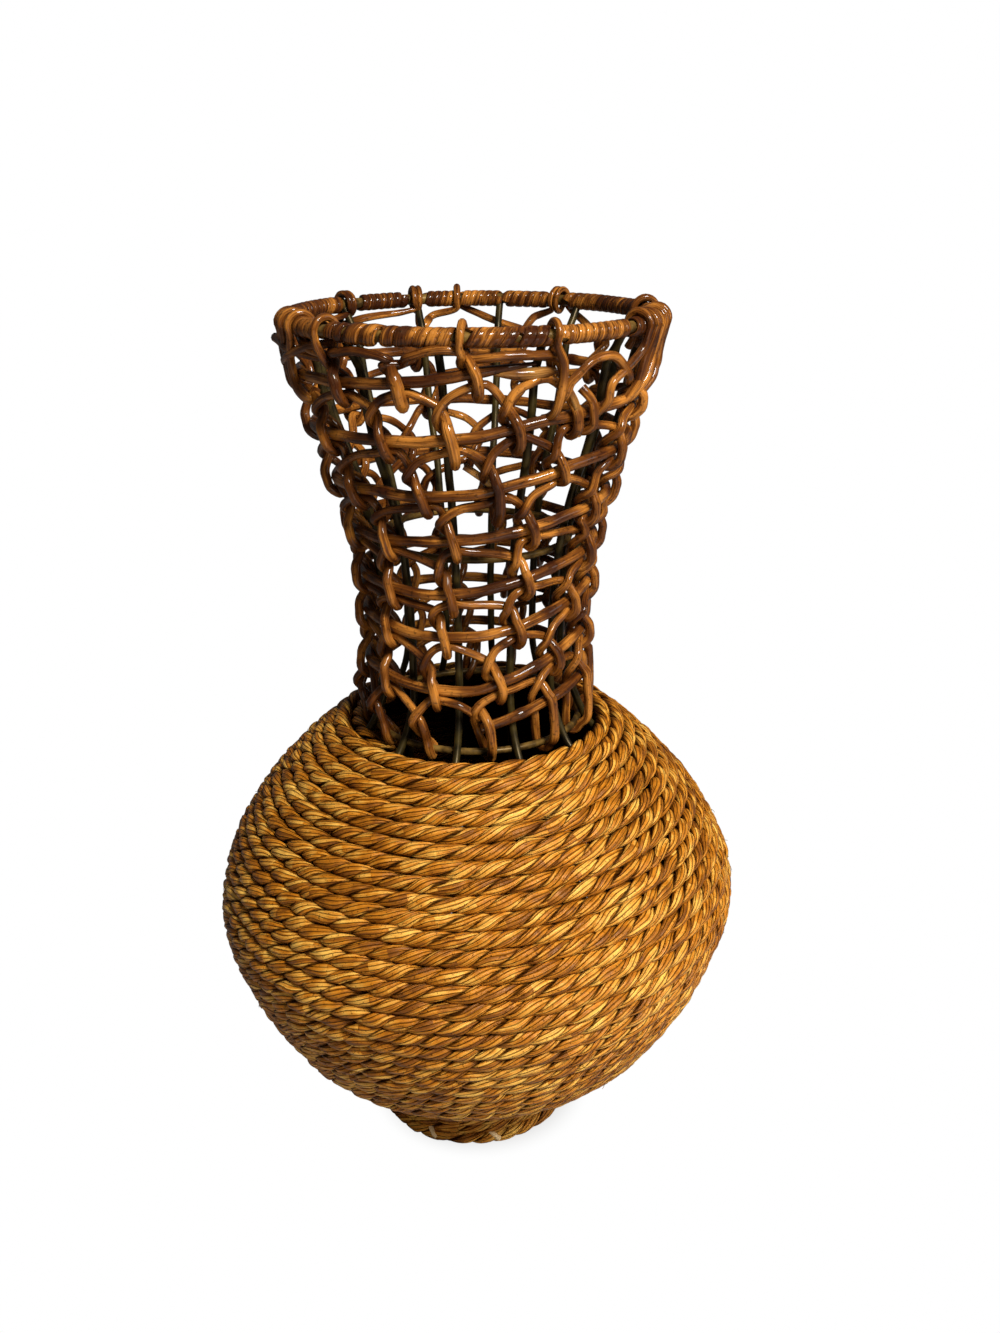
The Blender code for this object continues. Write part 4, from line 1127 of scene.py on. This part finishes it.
def fibre_chains(line):
    """Short loose fibres that stand off the rope, four points each."""
    pick = random.Random(11)
    # Share of the length and of the lift, and width, at each point
    shape = ((0.0, -0.3, 1.0), (0.35, 0.5, 1.0), (0.7, 0.9, 0.8), (1.0, 1.0, 0.5))
    chains = []
    for _ in range(FIBRE_COUNT):
        # Anywhere on the rope but near its two ends
        spot = line[pick.randrange(200, len(line) - 60)]
        radius = math.hypot(spot[0], spot[1])
        angle = math.degrees(math.atan2(spot[0], -spot[1]))
        out = ROPE_MIDDLE_INSET + pick.uniform(-0.0004, 0.0004)
        tilt = pick.uniform(-0.6, 0.6)
        reach = pick.choice((-1.0, 1.0)) * pick.uniform(0.0025, 0.0065)
        lift = pick.uniform(0.0004, 0.0022)
        points = []
        for share, raised, width in shape:
            turned = angle + math.degrees(reach * share / radius)
            up = reach * share * tilt
            points.append(np.append(place(radius + out + lift * raised, turned, spot[2] + up), width))
        chains.append(cane_chain(points))
    return chains


def strap_chain(angle):
    """Split cane hooked over the foot turn, from its inner side over its top to its outer side."""
    # Six points, 24 degrees apart round the rope and 1.6 degrees apart round the vase
    hug = ROPE_MIDDLE_INSET + 0.0003
    spots = []
    for k in range(6):
        way = math.radians(115.0 - 24.0 * k)
        radius = FOOT_RADIUS - ROPE_MIDDLE_INSET + hug * math.cos(way)
        spots.append(place(radius, angle + 1.6 * k, ROPE_MIDDLE_INSET + ROPE_LIFT + hug * math.sin(way)))
    return shifted(np.array(spots)), {"stain": -STRAP_PALENESS}


def rope_line():
    """Points of the rope's middle, and the length and the width of the rope up to each."""
    total = rope_turns() + ROPE_END_TURN
    points = []
    for turn in np.linspace(0.0, total, int(total * ROPE_POINTS_PER_TURN) + 1):
        radius, height = BELLY.at(rope_distance(turn))
        pull = min(max((turn - total + TOP_PULL_TURNS) / TOP_PULL_EASE, 0.0), 1.0)
        points.append(place(
            radius - TOP_PULL_IN * pull, ROPE_START_ANGLE + 360.0 * turn, height - TOP_PULL_DOWN * pull))
    points = shifted(np.array(points))
    run = np.concatenate(((0.0,), np.cumsum(np.linalg.norm(np.diff(points, axis=0), axis=1))))
    tuck = np.interp(run[-1] - run, (0.0, TUCK_LENGTH), (1.0, 0.0))
    points[:, :2] *= (1.0 - TUCK_IN_SHARE * tuck * tuck)[:, None]
    points[:, 2] -= TUCK_DOWN * tuck * tuck
    return points, run, 1.0 - TUCK_THINNING * tuck


def binding_chains():
    """The flat cane's strands round the rim, section by section."""
    strip_width = 2.0 * bpy.context.scene.vase_rim.strip_half_width
    chains = []
    for low, high, starts, wide, stain in BINDING_SECTIONS:
        angles = np.linspace(low, high, int((high - low) * 2) + 2)
        points = np.array([place(RIM_RADIUS, angle, RIM_HEIGHT) for angle in angles])
        run = np.radians(angles - low) * RIM_RADIUS
        for strand in range(starts):
            # Cane in wraps is about five times as long as the rim under it
            phase = low - 2.0 * math.pi * (run / (starts * wide) + strand / starts)
            chains.append((points, {
                "phase": phase, "run": run * 5.0 + 7.0 * strand + low, "stain": stain,
                "width": wide / strip_width}))
    return chains


# Operators


def grow_cane(name, chains, values):
    """Grow round cane along chains of points."""
    tree = made_once(bpy.data.node_groups, "Cane along a line", cane_tree)
    return grow(name, tree, chains, values)


def grow_strands(name, chains, values):
    """Wind strands round chains of points."""
    tree = made_once(bpy.data.node_groups, "Strand wound round a line", wound_tree)
    return grow(name, tree, chains, values)


def rattan(name, seed, streaks, contrast):
    """Stained cane of its own seed, streaks in a metre, and contrast."""
    cane = bpy.context.scene.vase_cane
    shades = cane.light, cane.middle, cane.dark
    return made_once(bpy.data.materials, name, cane_material, *shades, seed, streaks, contrast)


def bare_cane(name, light, middle, dark, contrast):
    """Cane without stain, as where it is split or cut."""
    return made_once(bpy.data.materials, name, cane_material, light, middle, dark, 3.0, 2000.0, contrast)


class VASE_OT_board(bpy.types.Operator):
    """Turn the base board"""

    bl_idname = "vase.board"
    bl_label = "Base board"

    def execute(self, context):
        # The board fills the foot turn, and its edges are broken
        inner = BOARD_RADIUS - BOARD_EDGE
        profile = (
            (inner, 0.0), (BOARD_RADIUS, BOARD_EDGE), (BOARD_RADIUS, BOARD_THICKNESS - BOARD_EDGE),
            (inner, BOARD_THICKNESS))
        count = BOARD_SIDES
        points = shifted(np.array([
            place(radius, 360.0 * i / count, z) for radius, z in profile for i in range(count)]))
        top = (len(profile) - 1) * count
        faces = [tuple(reversed(range(count))), tuple(range(top, top + count))]
        for low in range(0, top, count):
            for i in range(count):
                beside = (i + 1) % count
                faces.append((low + i, low + beside, low + beside + count, low + i + count))
        mesh = bpy.data.meshes.new("foot_board")
        mesh.from_pydata(points.tolist(), [], faces)
        mesh.materials.append(board_material("Bare plywood"))
        piece = bpy.data.objects.new("foot_board", mesh)
        context.scene.collection.objects.link(piece)
        finish_piece(piece, "plywood", "base_board")
        return {"FINISHED"}


class VASE_OT_iron(bpy.types.Operator):
    """Grow the upright rods and the hoops"""

    bl_idname = "vase.iron"
    bl_label = "Iron frame"

    def execute(self, context):
        settings = context.scene.vase_frame
        black = iron_material("Black iron wire", settings.iron, settings.iron_worn)
        rusty = iron_material("Rusted iron wire", settings.rust_dark, settings.rust)
        wire = {"Step": 0.004, "Unevenness": 0.05}
        line = upright_line()
        for i in range(UPRIGHT_COUNT):
            angle = UPRIGHT_FIRST_ANGLE + 360.0 * i / UPRIGHT_COUNT
            points = shifted(np.array([place(r, angle, z) for r, z in line]))
            piece = grow_cane("rod_%02d" % (i + 1), [(points, {})], {
                **wire, "Radius": settings.upright_radius, "Crook": 0.0010, "Seed": 3.0 * i,
                "Finish": black})
            finish_piece(piece, "iron", "upright_%02d" % (i + 1))
        hoops = (
            ("base_hoop", BASE_HOOP_RADIUS, BASE_HOOP_HEIGHT, settings.hoop_radius),
            ("collar_hoop", COLLAR_HOOP_RADIUS, COLLAR_HEIGHT, settings.hoop_radius),
            ("neck_hoop", NECK_HOOP_RADIUS, NECK_HOOP_HEIGHT, settings.hoop_radius),
            ("rim_hoop", RIM_RADIUS, RIM_HEIGHT, context.scene.vase_rim.rod_radius),
        )
        # Each hoop closes at the back, where its ends pass each other by a degree
        angles = np.linspace(180.0, 541.0, 60)
        for k, (name, radius, height, rod) in enumerate(hoops):
            points = shifted(np.array([place(radius, angle, height) for angle in angles]))
            piece = grow_cane(name.replace("hoop", "ring"), [(points, {})], {
                **wire, "Radius": rod, "Crook": 0.0005, "Seed": 50.0 + k, "Finish": rusty})
            finish_piece(piece, "iron", name)
        return {"FINISHED"}


class VASE_OT_rope(bpy.types.Operator):
    """Twist the rope, wind it round the belly, and add its straps and loose fibres"""

    bl_idname = "vase.rope"
    bl_label = "Rope"

    def execute(self, context):
        settings = context.scene.vase_rope
        ends = context.scene.vase_ends
        finish = rope_material("Twisted water hyacinth")
        points, run, width = rope_line()
        cuts = np.searchsorted(run, np.linspace(0.0, run[-1], ROPE_PIECES + 1))
        # Pieces below the middle of the full turns stand for the rope's lower length
        middle = int(len(points) * 0.5 * rope_turns() / (rope_turns() + ROPE_END_TURN))
        for k in range(ROPE_PIECES):
            part = slice(cuts[k], min(cuts[k + 1] + 1, len(points)))
            # Two plies half a turn apart, each with a pattern of its own
            chains = [
                (points[part], {
                    "phase": math.pi * ply - 2.0 * math.pi * run[part] / settings.lay,
                    "run": run[part] + 31.0 * ply, "width": width[part]})
                for ply in range(2)
            ]
            piece = grow_strands("rope_%d" % (k + 1), chains, {
                "Reach": settings.ply_reach, "Half Width": settings.ply_half_width,
                "Half Depth": settings.ply_half_depth, "Sides": 12, "Step": settings.step,
                "Wander": 0.0013, "Twist Unevenness": 3.2, "Unevenness": 0.60, "Lowest": 0.0002,
                "Relief": 0.00028, "Back Twist": 2.0 * math.pi * settings.back_twist / settings.lay,
                "Finish": finish})
            node = "rope_lower" if 0.5 * (part.start + part.stop) < middle else "rope_upper"
            finish_piece(piece, "rope", node)
        piece = grow_cane("foot_straps", [strap_chain(angle) for angle in STRAP_ANGLES], {
            "Radius": STRAP_RADIUS, "Sides": 8, "Step": 0.0010, "Crook": 0.0, "Unevenness": 0.2,
            "Seed": 60.0, "Finish": bare_cane("Pale split cane", ends.strap, ends.strap, ends.light, 0.6)})
        finish_piece(piece, "rope", "rope_lower")
        piece = grow_cane("loose_fibres", fibre_chains(points), {
            "Radius": FIBRE_RADIUS, "Sides": 4, "Step": 0.0012, "Crook": 0.0008, "Unevenness": 0.3,
            "Seed": 70.0, "Finish": finish})
        finish_piece(piece, "rope", "rope_upper")
        return {"FINISHED"}


class VASE_OT_core(bpy.types.Operator):
    """Grow the core cane up the neck, and the splice at its upper end"""

    bl_idname = "vase.core"
    bl_label = "Core cane"

    def execute(self, context):
        radius = context.scene.vase_cane.core_radius
        ends = context.scene.vase_ends
        top = 360.0 * (len(CORE_HEIGHTS) - 1)
        end = top + CORE_END_ANGLE
        # The last four points rise and taper off, and the stain thickens over the last nine
        angles = np.arange(CORE_START_ANGLE, end - 22.0, 9.0)
        angles = np.append(angles, end - np.array((15.0, 10.0, 5.0, 0.0)))
        rise = np.zeros(len(angles))
        rise[-4:] = (0.0003, 0.0010, 0.0017, 0.0022)
        width = np.ones(len(angles))
        width[-4:] = (0.9, 0.65, 0.45, 0.3)
        stain = np.zeros(len(angles))
        stain[-9:] = (0.15, 0.3, 0.4, 0.4, 0.4, 0.5, 0.7, 0.9, 1.0)
        points = np.array([core_point(angle, 0.0, up, 0.0) for angle, up in zip(angles, rise)])
        piece = grow_cane("core_spiral", [(points, {"width": width, "stain": stain})], {
            "Radius": radius, "Sides": 12, "Step": 0.002, "Crook": 0.0016, "Unevenness": 0.22,
            "Joint Spacing": 0.17, "Joint Swell": 0.14, "Seed": 1.0,
            "Finish": rattan("Varnished rattan core", 2.0, 2000.0, 1.3)})
        finish_piece(piece, "core_cane", "core_cane")
        points = [np.append(core_point(top + angle, 0.0, up * MM, 0.0), wide) for angle, up, wide in SPLICE]
        piece = grow_cane("core_splice", [cane_chain(points)], {
            "Radius": radius, "Sides": 12, "Unevenness": 0.15, "Seed": 9.0,
            "Finish": bare_cane("Bare split cane", ends.light, ends.middle, ends.dark, 1.2)})
        finish_piece(piece, "core_cane", "core_cane")
        return {"FINISHED"}


class VASE_OT_loops(bpy.types.Operator):
    """Loop the thinner cane along the core, stitch in stitch"""

    bl_idname = "vase.loops"
    bl_label = "Looping cane"

    def execute(self, context):
        radius = context.scene.vase_cane.loop_radius
        ends = context.scene.vase_ends
        finish = rattan("Varnished looping rattan", 7.0, 2000.0, 1.2)
        chains = [[cane_chain(points)] for points in looper_rows()]
        chains[-1] += short_lengths()
        for k, row in enumerate(chains):
            piece = grow_cane("loops_%d" % k, row, {
                "Radius": radius, "Step": 0.0014, "Crook": 0.0012, "Unevenness": 0.30,
                "Joint Spacing": 0.15, "Joint Swell": 0.12, "Seed": 5.0 + 2.0 * k, "Finish": finish})
            finish_piece(piece, "loop_cane", "looper_%d" % k)
        piece = grow_cane("bare_ends", [cane_chain(path_points(path)) for path in BARE_ENDS], {
            "Radius": 0.8 * radius, "Step": 0.0014, "Crook": 0.0008, "Unevenness": 0.2, "Seed": 40.0,
            "Finish": bare_cane("Bare split cane", ends.light, ends.middle, ends.dark, 1.2)})
        finish_piece(piece, "loop_cane", "looper_6")
        return {"FINISHED"}


class VASE_OT_rim(bpy.types.Operator):
    """Bind the rim with flat cane"""

    bl_idname = "vase.rim"
    bl_label = "Rim binding"

    def execute(self, context):
        rim = context.scene.vase_rim
        piece = grow_strands("binding", binding_chains(), {
            "Reach": rim.rod_radius + 0.9 * rim.strip_half_depth,
            "Half Width": rim.strip_half_width * 1.04, "Half Depth": rim.strip_half_depth,
            "Sides": 8, "Step": 0.0003, "Wander": 0.0004, "Twist Unevenness": 1.2, "Unevenness": 0.25,
            "Seed": 4.0, "Finish": rattan("Varnished flat cane", 11.0, 4.0, 1.8)})
        finish_piece(piece, "binding_cane", "rim_binding")
        return {"FINISHED"}


def seen_white(tree):
    """Value 1 for the rays that see a white background: the camera's, also through glass."""
    light = add_node(tree, "ShaderNodeLightPath").outputs
    return add_node(
        tree, "ShaderNodeMath", (light["Is Camera Ray"], light["Is Transmission Ray"]), operation="MAXIMUM")


def floor_material(name):
    """Matt painted floor that keeps a soft shadow round the foot and is plain white farther out."""
    material, tree, shader = new_material(
        name, Roughness=0.9, Base_Color=(*bpy.context.scene.vase_stage.floor, 1.0))
    add = partial(add_node, tree)
    glow = add("ShaderNodeEmission", {"Color": WHITE, "Strength": 1.0})
    far = add("ShaderNodeVectorMath", (add("ShaderNodeTexCoord").outputs["Object"],), operation="LENGTH")
    far = add("ShaderNodeMapRange", (
        far, *FLOOR_WHITENS, FLOOR_GLOW_AT_FOOT, 1.0), interpolation_type="SMOOTHSTEP")
    share = add("ShaderNodeMath", (seen_white(tree), far), operation="MULTIPLY")
    mix = add("ShaderNodeMixShader", (share, shader, glow))
    fill_inputs(tree, tree.nodes["Material Output"], {"Surface": mix})
    return material


class VASE_OT_stage(bpy.types.Operator):
    """Set the floor, the lamps and the camera"""

    bl_idname = "vase.stage"
    bl_label = "Stage"

    def execute(self, context):
        scene = context.scene
        settings = scene.vase_stage
        mesh = bpy.data.meshes.new("floor")
        sides = (-1, -1), (1, -1), (1, 1), (-1, 1)
        corners = [(FLOOR_HALF_WIDTH * x, FLOOR_HALF_WIDTH * y, 0.0) for x, y in sides]
        mesh.from_pydata(corners, [], [(0, 1, 2, 3)])
        mesh.materials.append(floor_material("Painted floor"))
        floor = bpy.data.objects.new("floor", mesh)
        scene.collection.objects.link(floor)

        world = bpy.data.worlds.new("Studio")
        scene.world = world
        world.use_nodes = True
        tree = world.node_tree
        strength = add_node(
            tree, "ShaderNodeMapRange", (seen_white(tree), 0.0, 1.0, settings.fill_strength, 1.0))
        fill_inputs(tree, tree.nodes["Background"], {"Color": WHITE, "Strength": strength})

        for name, spot, width, share in LAMPS:
            lamp = bpy.data.lights.new(name, "AREA")
            lamp.shape = "SQUARE"
            lamp.size = width
            lamp.energy = share * settings.key_power
            item = bpy.data.objects.new(name, lamp)
            item.location = spot
            item.rotation_euler = (Vector(LAMP_AIM) - Vector(spot)).to_track_quat("-Z", "Y").to_euler()
            scene.collection.objects.link(item)

        lens = bpy.data.cameras.new("camera")
        lens.sensor_fit = "VERTICAL"
        lens.sensor_height = SENSOR_HEIGHT
        lens.lens = SENSOR_HEIGHT * FOCAL_LENGTH / PICTURE_HEIGHT
        lens.clip_start = 0.01
        camera = bpy.data.objects.new("camera", lens)
        camera.location = CAMERA_PLACE
        camera.rotation_euler = CAMERA_TURNS
        scene.collection.objects.link(camera)
        scene.camera = camera
        scene.view_settings.view_transform = "Standard"
        return {"FINISHED"}


class VASE_PT_panel(bpy.types.Panel):
    """The vase's pieces and sizes"""

    bl_idname = "VASE_PT_panel"
    bl_label = "Woven vase"
    bl_space_type = "VIEW_3D"
    bl_region_type = "UI"
    bl_category = "Vase"

    def draw(self, context):
        column = self.layout.column()
        for operator in OPERATORS:
            column.operator(operator.bl_idname)
        for label in SETTINGS:
            box = self.layout.box()
            group = getattr(context.scene, label)
            for name in group.__annotations__:
                box.prop(group, name)


OPERATORS = (
    VASE_OT_board, VASE_OT_iron, VASE_OT_rope, VASE_OT_core, VASE_OT_loops, VASE_OT_rim, VASE_OT_stage,
)
SETTINGS = {
    "vase_rope": VaseRopeSettings,
    "vase_cane": VaseCaneSettings,
    "vase_ends": VaseEndSettings,
    "vase_rim": VaseRimSettings,
    "vase_frame": VaseFrameSettings,
    "vase_stage": VaseStageSettings,
}


def register():
    """Register the classes and hang the settings on the scene."""
    for group in SETTINGS.values():
        bpy.utils.register_class(group)
    for operator in OPERATORS:
        bpy.utils.register_class(operator)
    bpy.utils.register_class(VASE_PT_panel)
    for label, group in SETTINGS.items():
        setattr(bpy.types.Scene, label, bpy.props.PointerProperty(type=group))


def unregister():
    """Take the settings and the classes away again."""
    for label in SETTINGS:
        delattr(bpy.types.Scene, label)
    bpy.utils.unregister_class(VASE_PT_panel)
    for operator in OPERATORS:
        bpy.utils.unregister_class(operator)
    for group in SETTINGS.values():
        bpy.utils.unregister_class(group)


def main():
    """Make every piece."""
    register()
    bpy.ops.vase.stage()
    bpy.ops.vase.board()
    bpy.ops.vase.iron()
    bpy.ops.vase.rope()
    bpy.ops.vase.core()
    bpy.ops.vase.loops()
    bpy.ops.vase.rim()


if __name__ == "__main__":
    main()
